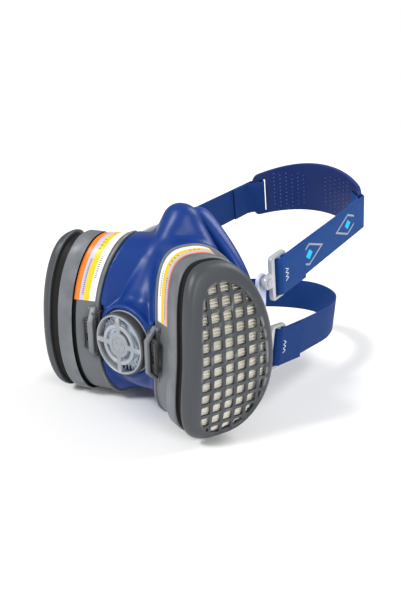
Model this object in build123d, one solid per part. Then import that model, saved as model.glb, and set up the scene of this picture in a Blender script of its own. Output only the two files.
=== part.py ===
from build123d import *
from math import asin, ceil, copysign, cos, degrees, pi, radians, sin, sqrt
import os

# Half-mask respirator with two removable side cartridges, a front exhalation
# valve, and a head harness with a cradle and a neck strap.
# Millimetres. +X is the wearer's left, -Y is the front, +Z is up. The origin is
# the centre of the face seal's opening, in the plane where the lip meets the face.

# ---------------------------------------------------------------- facepiece
WALL = 2.6                      # moulded wall
RIM_Y = 7.0                     # rear rim of the shell
SEAL_HALF_WIDTH = 43.4
RIM_HALF_WIDTH = SEAL_HALF_WIDTH - 2.4
FRONT_Y = -57.0                 # front plane that carries the exhalation valve
NOSE_PEAK = (-12.0, 54.0)       # y, z of the nose bridge's highest point
CHIN_LOW = (-40.0, -55.0)       # y, z of the chin's lowest point
BOSS_DEPTH = 24.0               # how far a side boss reaches into the shell

# ---------------------------------------------------------------- face seal
SEAL_TOP, SEAL_BOTTOM = 48.5, -52.5
SEAL_DEPTH = 7.5                # from the shell's side to the face
SEAL_FRONT_Y = 4.6
SEAL_LIP = 2.0                  # lip thickness
SEAL_INTURN = 9.0               # width of the lip that lies on the face

# ---------------------------------------------------------------- cartridge
SEAT_X, SEAT_Y, SEAT_Z = 31.0, -37.0, -15.5   # centre of the seat surface
SEAT_TOE = 20.7                 # outward normal turned to the front, degrees
SEAT_LEAN = 5.6                 # top leaned to the front, degrees
CROWN = 127.0                   # radius of the seat, curved from top to bottom
BEAN_POWER = 2.6
BEAN_TAPER = 0.12               # top narrower than the bottom
BEAN_BEND = 5.1                 # kidney bend of the outline
OUTLINE_POINTS = 28
BASE_WIDTH, BASE_HEIGHT, BASE_SHIFT = 64.5, 101.0, 5.6
BASE_FLANGE = 3.0
# each section is this much narrower and shorter than the base
NECK_WIDTH, NECK_HEIGHT, NECK_SHIFT = BASE_WIDTH - 10.5, BASE_HEIGHT - 5.0, 1.0
BAND_WIDTH, BAND_HEIGHT, BAND_SHIFT = BASE_WIDTH - 7.2, BASE_HEIGHT - 1.5, 0.8
GAP_WIDTH, GAP_HEIGHT = BASE_WIDTH - 13.5, BASE_HEIGHT - 6.5
CAP_WIDTH, CAP_HEIGHT = BASE_WIDTH - 9.7, BASE_HEIGHT - 2.0
BOSS_WIDTH, BOSS_HEIGHT = BASE_WIDTH - 6.5, BASE_HEIGHT - 17.0
BAND_FROM, BAND_TO = 16.4, 25.6
CAP_FROM, CAP_TO = 31.2, 37.0
SHELL_WALL = 2.0
CAP_FACE = 2.0                  # grille thickness
BORDER_FRONT, BORDER_REAR = 9.8, 6.2   # solid rim round the grille
BORDER_TOP, BORDER_BOTTOM = 10.5, 4.7
CELL = 7.25                     # grille pitch
BAR = 1.7                       # grille bar
CELL_SHIFT_U, CELL_SHIFT_V = 4.8, -2.9
FILTER_DEPTH = 8.0
CARBON_FROM, CARBON_TO = 4.2, 20.0
SCREEN = 1.0
LABEL_THICK = 0.4
LABEL_FROM, LABEL_TO = 3.6, 15.8
LABEL_END_V = 14.0              # lower end of the label on the front wall
LABEL_END_U = 14.0              # rear end of the label over the top

# ---------------------------------------------------------------- inlet port
PORT_U = 8.0                    # port centre on the seat
SPIGOT_R, SPIGOT_WALL, SPIGOT_LENGTH = 14.6, 2.0, 4.0
SPIGOT_BORE = SPIGOT_R - SPIGOT_WALL
PORT_CLEARANCE = 0.9            # spigot to port bore, so the cartridge can swing
TUBE_WALL = 1.6
FRAME_BACK, FRAME_FACE = -3.6, -1.6
FRAME_WIDTH, FRAME_HEIGHT = BOSS_WIDTH - 6.0, BOSS_HEIGHT
GASKET_R = SPIGOT_R + 4.4
GASKET_GAP = 0.4
TUBE_END = -12.0
WEB = 1.5
NUT_R, NUT_THICK = SPIGOT_R + 5.9, 2.6
FLAP_THICK = 0.6
FLAP_GAP = 0.35
INHALE_FLAP_R = SPIGOT_R - 0.6
INHALE_PIN_R, INHALE_PIN_LENGTH, INHALE_HEAD_R = 1.5, 4.6, 3.0
PIN_CLEARANCE = 0.07
SPOKE = 2.0

# ---------------------------------------------------------------- rear hook
HOOK_INSET, HOOK_N = 1.85, -5.0   # pin inside the flange's rear edge, and its level
HOOK_U = BASE_SHIFT + BASE_WIDTH / 2 - HOOK_INSET
HOOK_V = 9.0
HOOK_WIDTH = 4.0
HOOK_PIN_R, HOOK_PIN_LENGTH = 1.5, 34.0
HOOK_R = 3.0
HINGE_CLEARANCE = 0.06

# ---------------------------------------------------------------- latch
LATCH_V = -4.0                  # middle of the latch along the seat
LOOP_LENGTH, LOOP_REACH, LOOP_BAR = 32.0, 6.2, 1.8
TONGUE_LENGTH, TONGUE_THICK, TONGUE_HEIGHT = 20.0, 1.8, 7.4
LATCH_EDGE_U = BASE_SHIFT - BASE_WIDTH / 2 + 2.05   # flange's front edge beside the latch
TONGUE_U = LATCH_EDGE_U - 2.0
LATCH_PIN_R, LATCH_PIN_N = 0.9, 0.3
LATCH_KNUCKLE_R = 1.6
EAR_BACK, EAR_FACE = -2.8, -1.0  # plate that carries the latch ears
EAR_REACH = 1.0                 # plate past the flange's front edge

# ---------------------------------------------------------------- exhalation valve
VALVE_Y, VALVE_Z = -64.8, -22.3
VALVE_PITCH = 5.3               # faces forward and this far down, degrees
COVER_R, COVER_DEPTH = 17.5, 6.9
COVER_LIP_R = COVER_R + 1.2
COVER_FACE = 1.6
COVER_BAND_R = COVER_R + 0.8
SEAT_FLANGE_R, SEAT_FLANGE_BACK, SEAT_FLANGE_FACE = COVER_R - 0.6, -7.2, -5.7
SEAT_TUBE_R, SEAT_TUBE_END = SEAT_FLANGE_R - 3.5, -13.6
SEAT_TUBE_BORE = SEAT_TUBE_R - 2.2
EXHALE_FLAP_R = SEAT_TUBE_BORE + 1.2
EXHALE_PIN_R, EXHALE_PIN_LENGTH, EXHALE_HEAD_R = 1.2, 3.7, 2.3
LUG_COUNT, LUG_ARC, NOTCH_ARC = 3, 12.0, 30.0
OUTER_WINDOW = COVER_R - 1.5
CENTRE_DISC, INNER_SLOT, MID_RING = 7.3, 9.6, 11.9
GRILLE_SPOKE = 3.0

# ---------------------------------------------------------------- harness
STRAP_WIDTH, STRAP_THICK = 24.0, 1.2
BUCKLE_THICK, BUCKLE_RAIL = 3.0, 1.8
BUCKLE_WIDTH = STRAP_WIDTH + 2 * (BUCKLE_RAIL + 0.6)
BUCKLE_BAR, BUCKLE_SLOT = 3.0, 3.5
BUCKLE_NECK = 3.0               # pivot to the first bar
EYE_R = 4.4
STUD_R = 2.5
YOKE_THICK, YOKE_HALF_WIDTH = 1.8, 4.6
YOKE_X = SEAL_HALF_WIDTH + 2.1  # middle of the yoke's thickness
BUCKLE_X = YOKE_X + 4.6         # middle of the buckle's thickness
UPPER_PIVOT = (6.5, 12.0)       # y, z
LOWER_PIVOT = (11.0, -31.0)
YOKE_STUD = (8.7, -9.0)         # y, z of the stud in the seal's side
YOKE_STUD_R = 2.2
HEAD_RISE = 13.9                # head loop above level, degrees
NECK_RISE = -2.0
CRADLE_RADIUS, CRADLE_APEX = 63.0, 148.0
CRADLE_THICK = 3.0
CRADLE_HALF_ARC = 46.5          # degrees each side
CRADLE_DROP = 4.0               # ends lower than the middle
CRADLE_SLOT_ARC = 39.3
CRADLE_SLOT_WIDTH, CRADLE_SLOT_HEIGHT = 4.4, STRAP_WIDTH + 2.0
CRADLE_HEIGHT_END = CRADLE_SLOT_HEIGHT + 6.0
CRADLE_HEIGHT_MID = CRADLE_HEIGHT_END + 5.0
FOLD_LENGTH = 24.0              # sewn double ply at the cradle
TAIL_LENGTH = 26.0              # free tail past the buckle
NECK_PATH = ((BUCKLE_X - 0.6, 55.0), (BUCKLE_X - 6.1, 96.0), (27.0, 133.0))
NECK_APEX = 150.0

NODES = {}


# ================================================================ helpers
def cylinder(radius, low, high):
    """Cylinder on the Z axis between two heights."""
    return extrude(Pos(0, 0, low) * Circle(radius), high - low)


def ring(outer, inner, low, high):
    """Tube on the Z axis between two heights."""
    return cylinder(outer, low, high) - cylinder(inner, low - 1, high + 1)


def block(x, y, z):
    """Box between two values along each axis."""
    size = [b - a for a, b in (x, y, z)]
    return Pos(*[(a + b) / 2 for a, b in (x, y, z)]) * Box(*size)


def sector(inner, outer, start, sweep, low, high):
    """Part of a ring between two angles."""
    far = CenterArc((0, 0), outer, start, sweep)
    near = CenterArc((0, 0), inner, start, sweep)
    face = make_face([far, near, Line(far @ 0, near @ 0), Line(far @ 1, near @ 1)])
    return extrude(Pos(0, 0, low) * face, high - low)


def cross_arms(half_length, width, low, high):
    """Four arms at right angles on the Z axis."""
    arm = block((-half_length, half_length), (-width / 2, width / 2), (low, high))
    return arm + Rot(0, 0, 90) * arm


def superellipse(angle, power):
    """Point of a unit superellipse at an angle."""
    c, s = cos(angle), sin(angle)
    return copysign(abs(c) ** (2 / power), c), copysign(abs(s) ** (2 / power), s)


def one_side(name, solid, other=True):
    """Store a piece of the wearer's left side and its mirror image."""
    NODES[name + "_left"] = solid
    if other:
        NODES[name + "_right"] = mirror(solid, about=Plane.YZ)


# ---------------------------------------------------------------- seat frame
# Local x runs backward along the seat, y up along it, and z outward.
toe, lean = radians(SEAT_TOE), radians(SEAT_LEAN)
SEAT_NORMAL = Vector(cos(toe), -sin(toe), 0)
back_level = Vector(sin(toe), cos(toe), 0)
SEAT_BACK = back_level * cos(lean) + Vector(0, 0, 1) * sin(lean)
SEAT = Plane(origin=(SEAT_X, SEAT_Y, SEAT_Z), x_dir=SEAT_BACK, z_dir=SEAT_NORMAL).location


def bean(width, height, shift, level):
    """Kidney outline of a cartridge section, as a face at a level."""
    points = []
    for i in range(OUTLINE_POINTS):
        c, s = superellipse(2 * pi * (i + 0.5) / OUTLINE_POINTS, BEAN_POWER)
        u = shift + width / 2 * c * (1 - BEAN_TAPER * s) - BEAN_BEND * (s * s - 0.5)
        points.append((u, height / 2 * s, level))
    return make_face(Spline(*points, periodic=True))


SEAT_SAG = CROWN - sqrt(CROWN ** 2 - (BASE_HEIGHT / 2) ** 2)   # seat's drop at its ends
LOW = -SEAT_SAG - 8.0
HIGH = CAP_TO + 4.0


def crown(low, high):
    """Shell between two distances from the curved seat."""
    length = 2 * BASE_WIDTH
    tube = cylinder(CROWN + high, -length / 2, length / 2) - cylinder(CROWN + low, -length, length)
    tube = Pos(0, 0, -CROWN) * Rot(0, 90, 0) * tube
    return tube & block((-length / 2, length / 2), (-BASE_HEIGHT, BASE_HEIGHT), (LOW - 30, HIGH))


def band(width, height, shift, low, high):
    """Straight-walled bean between two distances from the seat."""
    prism = extrude(bean(width, height, shift, LOW - 6), HIGH - LOW + 6)
    return prism & crown(low, high)


def on_seat_port(solid):
    """Move a round piece of the port to its centre on the seat."""
    return Pos(PORT_U, 0, 0) * solid


# ================================================================ cartridge
def label_wall(grow=0.0):
    """Tapered wall between the flange and the band."""
    taper = loft([
        bean(BASE_WIDTH - 3 + 2 * grow, BASE_HEIGHT - 3 + 2 * grow, BASE_SHIFT, LOW),
        bean(NECK_WIDTH + 2 * grow, NECK_HEIGHT + 2 * grow, NECK_SHIFT, BAND_TO),
    ])
    return taper


INNER_WIDTH = GAP_WIDTH - 2 * SHELL_WALL
INNER_HEIGHT = GAP_HEIGHT - 2 * SHELL_WALL

shell = band(BASE_WIDTH, BASE_HEIGHT, BASE_SHIFT, 0, BASE_FLANGE)
shell += label_wall() & crown(BASE_FLANGE - 0.5, BAND_FROM + 0.5)
shell += band(BAND_WIDTH, BAND_HEIGHT, BAND_SHIFT, BAND_FROM, BAND_TO)
shell += band(GAP_WIDTH, GAP_HEIGHT, 0, BAND_TO - 0.5, CAP_FROM)
shell -= band(INNER_WIDTH, INNER_HEIGHT, 0, BASE_FLANGE - 0.8, CAP_FROM + 2)

# outlet spigot, which the port takes
shell += on_seat_port(cylinder(SPIGOT_R, -SPIGOT_LENGTH, 1.0))
shell -= on_seat_port(cylinder(SPIGOT_BORE, -SPIGOT_LENGTH - 1, BASE_FLANGE + 2))
shell += on_seat_port(cross_arms(SPIGOT_BORE + 0.6, SPOKE, -0.4, BASE_FLANGE - 1.0))

# two hooks under the rear edge
hook = cylinder(HOOK_R, -HOOK_WIDTH / 2, HOOK_WIDTH / 2)
hook = Pos(HOOK_U, 0, HOOK_N) * Rot(90, 0, 0) * hook
web = block((HOOK_U - HOOK_R, HOOK_U), (-HOOK_WIDTH / 2, HOOK_WIDTH / 2), (HOOK_N, 0.8))
hook = hook + web
hook -= Pos(HOOK_U, 0, HOOK_N) * Rot(90, 0, 0) * cylinder(HOOK_PIN_R + HINGE_CLEARANCE, -HOOK_WIDTH, HOOK_WIDTH)
mouth = block((HOOK_U, HOOK_U + 2 * HOOK_R), (-HOOK_WIDTH, HOOK_WIDTH),
              (HOOK_N - HOOK_PIN_R - 0.2, HOOK_N + HOOK_PIN_R + 0.2))
hook -= mouth
for v in (-HOOK_V, HOOK_V):
    shell += Pos(0, v, 0) * hook

# latch loop on the front edge, set square to the curved seat there
LATCH_ANGLE = degrees(asin(LATCH_V / CROWN))
LATCH = Pos(0, 0, -CROWN) * Rot(-LATCH_ANGLE, 0, 0) * Pos(0, 0, CROWN)
loop_outer = block((LATCH_EDGE_U - LOOP_REACH, LATCH_EDGE_U + 3), (-LOOP_LENGTH / 2, LOOP_LENGTH / 2),
                   (0, BASE_FLANGE))
loop_outer = fillet(loop_outer.edges().filter_by(Axis.Z).group_by(Axis.X)[0], 3.0)
loop_inner = block((LATCH_EDGE_U - LOOP_REACH + LOOP_BAR, LATCH_EDGE_U), (-LOOP_LENGTH / 2 + LOOP_BAR,
                   LOOP_LENGTH / 2 - LOOP_BAR), (-1, BASE_FLANGE + 6))
shell += LATCH * loop_outer - band(INNER_WIDTH, INNER_HEIGHT, 0, BASE_FLANGE - 0.8, CAP_FROM)
shell -= LATCH * loop_inner
one_side("cartridge_shell", SEAT * shell)

# outer cap with its grille
cap = band(CAP_WIDTH, CAP_HEIGHT, 0, CAP_FROM, CAP_TO)
window_width = CAP_WIDTH - BORDER_FRONT - BORDER_REAR
window_height = CAP_HEIGHT - BORDER_TOP - BORDER_BOTTOM
window_u, window_v = (BORDER_FRONT - BORDER_REAR) / 2, (BORDER_BOTTOM - BORDER_TOP) / 2
cap -= band(INNER_WIDTH, INNER_HEIGHT, 0, CAP_FROM - 1, CAP_TO - CAP_FACE)
window_cut = extrude(bean(window_width, window_height, window_u, LOW), HIGH - LOW + 6)
cap -= Pos(0, window_v, 0) * window_cut & crown(CAP_FROM, CAP_TO + 1)
window = Pos(0, window_v, 0) * bean(window_width + 1, window_height + 1, window_u, 0)
columns = ceil(window_width / CELL / 2) + 1
rows = ceil(window_height / CELL / 2) + 1
bars = [Pos(CELL_SHIFT_U + (i + 0.5) * CELL, 0) * Rectangle(BAR, CAP_HEIGHT) for i in range(-columns, columns)]
bars += [Pos(0, CELL_SHIFT_V + (j + 0.5) * CELL) * Rectangle(CAP_WIDTH * 1.5, BAR) for j in range(-rows, rows)]
lattice = bars[0] + bars[1:]
lattice = lattice & window
cap += extrude(Pos(0, 0, LOW) * lattice, HIGH - LOW) & crown(CAP_TO - CAP_FACE, CAP_TO - 0.3)
one_side("cartridge_cap", SEAT * cap)

# filter, carbon and screens inside
FILTER_TO = CAP_TO - CAP_FACE - 0.2
FIT_WIDTH, FIT_HEIGHT = INNER_WIDTH - 0.4, INNER_HEIGHT - 0.4
one_side("particulate_filter", SEAT * band(FIT_WIDTH, FIT_HEIGHT, 0, FILTER_TO - FILTER_DEPTH, FILTER_TO))
one_side("filter_tray", SEAT * (band(FIT_WIDTH, FIT_HEIGHT, 0, CARBON_TO + 0.1, FILTER_TO - FILTER_DEPTH - 0.1)
                                - band(FIT_WIDTH - 10, FIT_HEIGHT - 10, 0, CARBON_TO - 2, FILTER_TO)))
one_side("carbon_bed", SEAT * band(FIT_WIDTH, FIT_HEIGHT, 0, CARBON_FROM, CARBON_TO))
one_side("outlet_screen", SEAT * band(FIT_WIDTH, FIT_HEIGHT, 0, CARBON_FROM - 0.1 - SCREEN, CARBON_FROM - 0.1))

# printed label round the front and over the top of the wall
label = (label_wall(LABEL_THICK + 0.02) - label_wall(0.02)) & crown(LABEL_FROM, LABEL_TO)
label &= block((-BASE_WIDTH, LABEL_END_U), (LABEL_END_V, BASE_HEIGHT), (LOW, HIGH))
one_side("cartridge_label", SEAT * label)

# ================================================================ port frame
PORT_R = SPIGOT_R + PORT_CLEARANCE
TUBE_R = PORT_R + TUBE_WALL
frame = band(FRAME_WIDTH, FRAME_HEIGHT, BASE_SHIFT - 2.6, FRAME_BACK, FRAME_FACE)
frame += on_seat_port(cylinder(TUBE_R, TUBE_END, FRAME_BACK + 0.4))
frame -= on_seat_port(cylinder(PORT_R, TUBE_END + WEB, 2))
frame -= on_seat_port(cylinder(INHALE_FLAP_R - 1.8, TUBE_END - 1, TUBE_END + WEB + 1))
frame += on_seat_port(cross_arms(INHALE_FLAP_R - 1, SPOKE, TUBE_END, TUBE_END + WEB))
frame += on_seat_port(cylinder(INHALE_PIN_R, TUBE_END - INHALE_PIN_LENGTH, TUBE_END + WEB))
frame += on_seat_port(cylinder(INHALE_HEAD_R, TUBE_END - INHALE_PIN_LENGTH, TUBE_END - INHALE_PIN_LENGTH + 1.0))

# room for the hooks, then lugs that hold the hook pin
frame -= block((HOOK_U - HOOK_R - 1.6, HOOK_U + 12), (-HOOK_V - HOOK_WIDTH, HOOK_V + HOOK_WIDTH), (-14, 4))
lug_v = HOOK_V + HOOK_WIDTH + 1.0
for v in (-lug_v, lug_v):
    lug = Pos(HOOK_U, v, HOOK_N) * Rot(90, 0, 0) * cylinder(HOOK_PIN_R + 1.2, -1.5, 1.5)
    lug += block((HOOK_U - HOOK_R - 1.4, HOOK_U), (v - 1.5, v + 1.5), (HOOK_N - 1.2, FRAME_BACK))
    lug += block((HOOK_U - 10, HOOK_U), (v - 1.5, v + 1.5), (FRAME_BACK - 0.5, FRAME_FACE - 1.2))
    frame += lug
pin_bore = Pos(HOOK_U, 0, HOOK_N) * Rot(90, 0, 0) * cylinder(HOOK_PIN_R, -HOOK_PIN_LENGTH, HOOK_PIN_LENGTH)
frame -= pin_bore
hook_pin = Pos(HOOK_U, 0, HOOK_N) * Rot(90, 0, 0) * cylinder(HOOK_PIN_R, -HOOK_PIN_LENGTH / 2, HOOK_PIN_LENGTH / 2)
one_side("hook_pin", SEAT * hook_pin)

# ears at the front that hold the latch pin
ear_v = TONGUE_LENGTH / 2 + 2.0
ears = block((LATCH_EDGE_U - EAR_REACH, LATCH_EDGE_U + 8), (-ear_v - 1.5, ear_v + 1.5), (EAR_BACK, EAR_FACE))
for v in (-ear_v, ear_v):
    ears += Pos(TONGUE_U, v, LATCH_PIN_N) * Rot(90, 0, 0) * cylinder(LATCH_KNUCKLE_R, -1.5, 1.5)
    ears += block((TONGUE_U, LATCH_EDGE_U - EAR_REACH + 0.8), (v - 1.5, v + 1.5),
                  (EAR_FACE - 0.6, LATCH_PIN_N + 0.6))
latch_bore = Pos(TONGUE_U, 0, LATCH_PIN_N) * Rot(90, 0, 0)
frame += LATCH * ears
frame -= LATCH * latch_bore * cylinder(LATCH_PIN_R, -ear_v - 3, ear_v + 3)
one_side("port_frame", SEAT * frame)
one_side("latch_pin", SEAT * LATCH * latch_bore * cylinder(LATCH_PIN_R, -ear_v - 1.5, ear_v + 1.5))

# release tongue, which stands up through the latch loop
tongue = latch_bore * cylinder(LATCH_KNUCKLE_R, -TONGUE_LENGTH / 2, TONGUE_LENGTH / 2)
plate = block((TONGUE_U - TONGUE_THICK / 2, TONGUE_U + TONGUE_THICK / 2), (-TONGUE_LENGTH / 2, TONGUE_LENGTH / 2),
              (LATCH_PIN_N, TONGUE_HEIGHT))
plate = fillet(plate.edges().filter_by(Axis.X).group_by(Axis.Z)[-1], 2.5)
tongue += plate
tongue -= latch_bore * cylinder(LATCH_PIN_R + HINGE_CLEARANCE, -TONGUE_LENGTH, TONGUE_LENGTH)
one_side("latch_tongue", SEAT * LATCH * tongue)

gasket = (on_seat_port(ring(GASKET_R, PORT_R + 0.3, -8, 2))) & crown(FRAME_FACE + 0.02, -GASKET_GAP)
one_side("port_gasket", SEAT * gasket)

flap_top = TUBE_END - FLAP_GAP
flap = ring(INHALE_FLAP_R, INHALE_PIN_R + PIN_CLEARANCE, flap_top - FLAP_THICK, flap_top)
one_side("inhalation_flap", SEAT * on_seat_port(flap))

BOSS_FACE = FRAME_BACK
nut_top = BOSS_FACE - WALL - 0.9
nut = ring(NUT_R, TUBE_R, nut_top - NUT_THICK, nut_top)
for k in range(6):
    nut -= Rot(0, 0, 60 * k) * Pos(NUT_R, 0, nut_top - NUT_THICK / 2) * Box(2.4, 5, NUT_THICK + 2)
one_side("port_nut", SEAT * on_seat_port(nut))


# ================================================================ facepiece
def section(y, half_width, top, bottom, widest, power=2.3, points=24):
    """Closed outline across the mask at one depth, as a face."""
    outline = []
    for i in range(points):
        c, s = superellipse(2 * pi * (i + 0.5) / points, power)
        z = widest + (top - widest if s > 0 else widest - bottom) * s
        narrow = 1 - 0.30 * max(s, 0)
        outline.append((half_width * c * narrow, y, z))
    return make_face(Spline(*outline, periodic=True))


VALVE_BOSS_R = COVER_LIP_R + 2.3
STATIONS = (
    # y, half width, top, bottom, widest height
    (RIM_Y, RIM_HALF_WIDTH, 46.0, -50.0, -14.0),
    (NOSE_PEAK[0], 37.0, NOSE_PEAK[1], -54.0, -16.0),
    (CHIN_LOW[0] + 6, 28.5, 38.0, CHIN_LOW[1], -18.0),
    (FRONT_Y + 8, 22.5, 10.0, -50.0, -21.0),
    (FRONT_Y, 20.0, 0.0, -45.0, -22.0),
)


def mask_body(inset):
    """Loft through the mask's sections, drawn in by an inset."""
    faces = []
    for index, (y, width, top, bottom, widest) in enumerate(STATIONS):
        if index == 0 and inset:
            y += 1.0
        if index >= len(STATIONS) - 2:
            y += inset
        faces.append(section(y, width - inset, top - inset, bottom + inset, widest))
    return loft(faces)


def boss_solid(shrink, top_level, bottom_level):
    """Side boss that carries a cartridge seat."""
    outer = bean(BOSS_WIDTH - 2 * shrink, BOSS_HEIGHT - 2 * shrink, BASE_SHIFT - 2.6, top_level)
    inner = bean(BOSS_WIDTH - 14 - 2 * shrink, BOSS_HEIGHT - 22 - 2 * shrink, BASE_SHIFT - 2.6, bottom_level)
    return loft([outer, inner])


boss = boss_solid(0, 4.0, -BOSS_DEPTH) & crown(-60, BOSS_FACE)
boss_hollow = boss_solid(WALL, 4.0, -BOSS_DEPTH - 6) & crown(-60, BOSS_FACE - WALL - 0.8)
boss_hollow -= block((HOOK_U - HOOK_R - 5.5, HOOK_U + 20), (-BOSS_HEIGHT, BOSS_HEIGHT), (-14.5, 10))
pocket = block((HOOK_U - HOOK_R - 2.2, HOOK_U + 20), (-lug_v - 5, lug_v + 5), (HOOK_N - HOOK_R - 1.6, 10))
boss -= pocket
# relief under the latch ears
relief = LATCH * block((TONGUE_U - 8, LATCH_EDGE_U + 4.5), (-ear_v - 3, ear_v + 3), (EAR_BACK - 1.0, 12))
boss -= relief
boss = SEAT * boss
boss_hollow = SEAT * boss_hollow
# space in front of the seat, which the frame and the cartridge take
seat_space = SEAT * band(BASE_WIDTH + 5, BASE_HEIGHT + 5, BASE_SHIFT, BOSS_FACE, CAP_TO)
seat_wall = SEAT * band(BASE_WIDTH + 5, BASE_HEIGHT + 5, BASE_SHIFT, BOSS_FACE - WALL, CAP_TO)
nut_seat = SEAT * on_seat_port(cylinder(NUT_R + 0.5, nut_top - 16, nut_top))
port_hole = SEAT * on_seat_port(cylinder(TUBE_R, -40, 8))

pitch = radians(VALVE_PITCH)
VALVE = Plane(origin=(0, VALVE_Y, VALVE_Z), x_dir=(1, 0, 0), z_dir=(0, -cos(pitch), -sin(pitch))).location
valve_boss = VALVE * cylinder(VALVE_BOSS_R, SEAT_FLANGE_BACK - 5, SEAT_FLANGE_BACK)
valve_hole = VALVE * cylinder(SEAT_TUBE_R, -24, 4)
valve_front = VALVE * cylinder(2 * VALVE_BOSS_R, SEAT_FLANGE_BACK, 20)

body = mask_body(0)
face = body + boss + mirror(boss, about=Plane.YZ)
face += valve_boss
face -= mask_body(WALL) - seat_wall - mirror(seat_wall, about=Plane.YZ)
face -= boss_hollow
face -= mirror(boss_hollow, about=Plane.YZ)
face -= port_hole
face -= mirror(port_hole, about=Plane.YZ)
face -= SEAT * pocket
face -= mirror(SEAT * pocket, about=Plane.YZ)
for cut in (seat_space, nut_seat):
    face -= cut
    face -= mirror(cut, about=Plane.YZ)
face += VALVE * ring(VALVE_BOSS_R, SEAT_TUBE_R, SEAT_FLANGE_BACK - 5, SEAT_FLANGE_BACK)
for cut in (seat_space, SEAT * relief):
    face -= cut
    face -= mirror(cut, about=Plane.YZ)
face -= valve_front
face -= valve_hole


# ================================================================ face seal
def seal_outline(y, inset):
    """Outline of the face seal at one depth."""
    outline = []
    for i in range(28):
        c, s = superellipse(2 * pi * (i + 0.5) / 28, 2.2)
        widest = -14.0
        z = widest + ((SEAL_TOP - inset - widest) if s > 0 else (widest - SEAL_BOTTOM - inset)) * s
        outline.append(((SEAL_HALF_WIDTH - inset) * c * (1 - 0.30 * max(s, 0)), y, z))
    return make_face(Spline(*outline, periodic=True))


SEAL_BACK_Y = SEAL_FRONT_Y + SEAL_DEPTH
seal = extrude(seal_outline(SEAL_FRONT_Y, 0), SEAL_DEPTH, dir=(0, 1, 0))
seal -= extrude(seal_outline(SEAL_FRONT_Y - 1, SEAL_LIP + 0.4), SEAL_DEPTH + 1 - SEAL_LIP, dir=(0, 1, 0))
seal -= extrude(seal_outline(SEAL_FRONT_Y - 1, SEAL_INTURN), SEAL_DEPTH + 2, dir=(0, 1, 0))
for side in (-1, 1):
    stud_hole = Pos(side * SEAL_HALF_WIDTH, *YOKE_STUD) * Rot(0, 90, 0) * cylinder(YOKE_STUD_R, -6, 6)
    seal -= stud_hole
NODES["facepiece"] = face - seal
NODES["face_seal"] = seal

# ================================================================ exhalation valve
valve_seat = cylinder(SEAT_FLANGE_R, SEAT_FLANGE_BACK, SEAT_FLANGE_FACE)
valve_seat += cylinder(SEAT_TUBE_R, SEAT_TUBE_END, SEAT_FLANGE_BACK)
valve_seat += cylinder(SEAT_TUBE_R + 1.6, SEAT_TUBE_END, SEAT_FLANGE_BACK - 5.1)
valve_seat -= cylinder(SEAT_TUBE_BORE, SEAT_TUBE_END - 1, SEAT_FLANGE_FACE + 1)
valve_seat += cross_arms(SEAT_TUBE_BORE + 0.6, SPOKE, SEAT_FLANGE_BACK, SEAT_FLANGE_FACE)
valve_seat += cylinder(EXHALE_PIN_R, SEAT_FLANGE_BACK, SEAT_FLANGE_FACE + EXHALE_PIN_LENGTH)
valve_seat += cylinder(EXHALE_HEAD_R, SEAT_FLANGE_FACE + EXHALE_PIN_LENGTH - 0.8,
                       SEAT_FLANGE_FACE + EXHALE_PIN_LENGTH)
for k in range(LUG_COUNT):
    start = 360 / LUG_COUNT * k - 1.5
    valve_seat -= sector(SEAT_FLANGE_R - 1.1, SEAT_FLANGE_R + 2, start, NOTCH_ARC,
                         SEAT_FLANGE_BACK - 0.1, SEAT_FLANGE_FACE + 1)
NODES["exhalation_seat"] = VALVE * valve_seat

flap_low = SEAT_FLANGE_FACE + FLAP_GAP
NODES["exhalation_flap"] = VALVE * ring(EXHALE_FLAP_R, EXHALE_PIN_R + PIN_CLEARANCE, flap_low, flap_low + FLAP_THICK)

COVER_BORE = SEAT_FLANGE_R + 0.35
cover = cylinder(COVER_R, -COVER_DEPTH + 1.1, 0) + cylinder(COVER_LIP_R, -COVER_DEPTH, -COVER_DEPTH + 1.1)
cover -= cylinder(OUTER_WINDOW + 0.4, -COVER_DEPTH - 1, -COVER_FACE)
cover -= cylinder(COVER_BORE, -COVER_DEPTH - 1, SEAT_FLANGE_FACE + 0.4)
cover -= ring(OUTER_WINDOW, MID_RING, -COVER_FACE - 1, 1)
cover -= ring(INNER_SLOT, CENTRE_DISC, -COVER_FACE - 1, 1)
cover += cross_arms(OUTER_WINDOW + 0.3, GRILLE_SPOKE, -COVER_FACE, 0)
for k in range(LUG_COUNT):
    cover += sector(SEAT_FLANGE_R - 0.6, COVER_BORE + 0.1, 360 / LUG_COUNT * k, LUG_ARC,
                    -COVER_DEPTH, SEAT_FLANGE_FACE + 0.2)
NODES["exhalation_cover"] = VALVE * cover
NODES["cover_band"] = VALVE * ring(COVER_BAND_R, COVER_R, -COVER_DEPTH + 1.1, -0.9)

# ================================================================ harness
# The head loop and the neck loop are each drawn level, with their pivot on the
# X axis, then turned about it and moved to the pivot.
FRONT_BAR = BUCKLE_NECK
FRONT_SLOT = FRONT_BAR + BUCKLE_BAR
MID_BAR = FRONT_SLOT + BUCKLE_SLOT
REAR_SLOT = MID_BAR + BUCKLE_BAR
REAR_BAR = REAR_SLOT + BUCKLE_SLOT
BUCKLE_END = REAR_BAR + BUCKLE_BAR
PLY = STRAP_THICK / 2 + 0.08    # strap centre line off a bar's face
OUTSIDE = BUCKLE_X + BUCKLE_THICK / 2 + PLY
INSIDE = BUCKLE_X - BUCKLE_THICK / 2 - PLY


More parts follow.
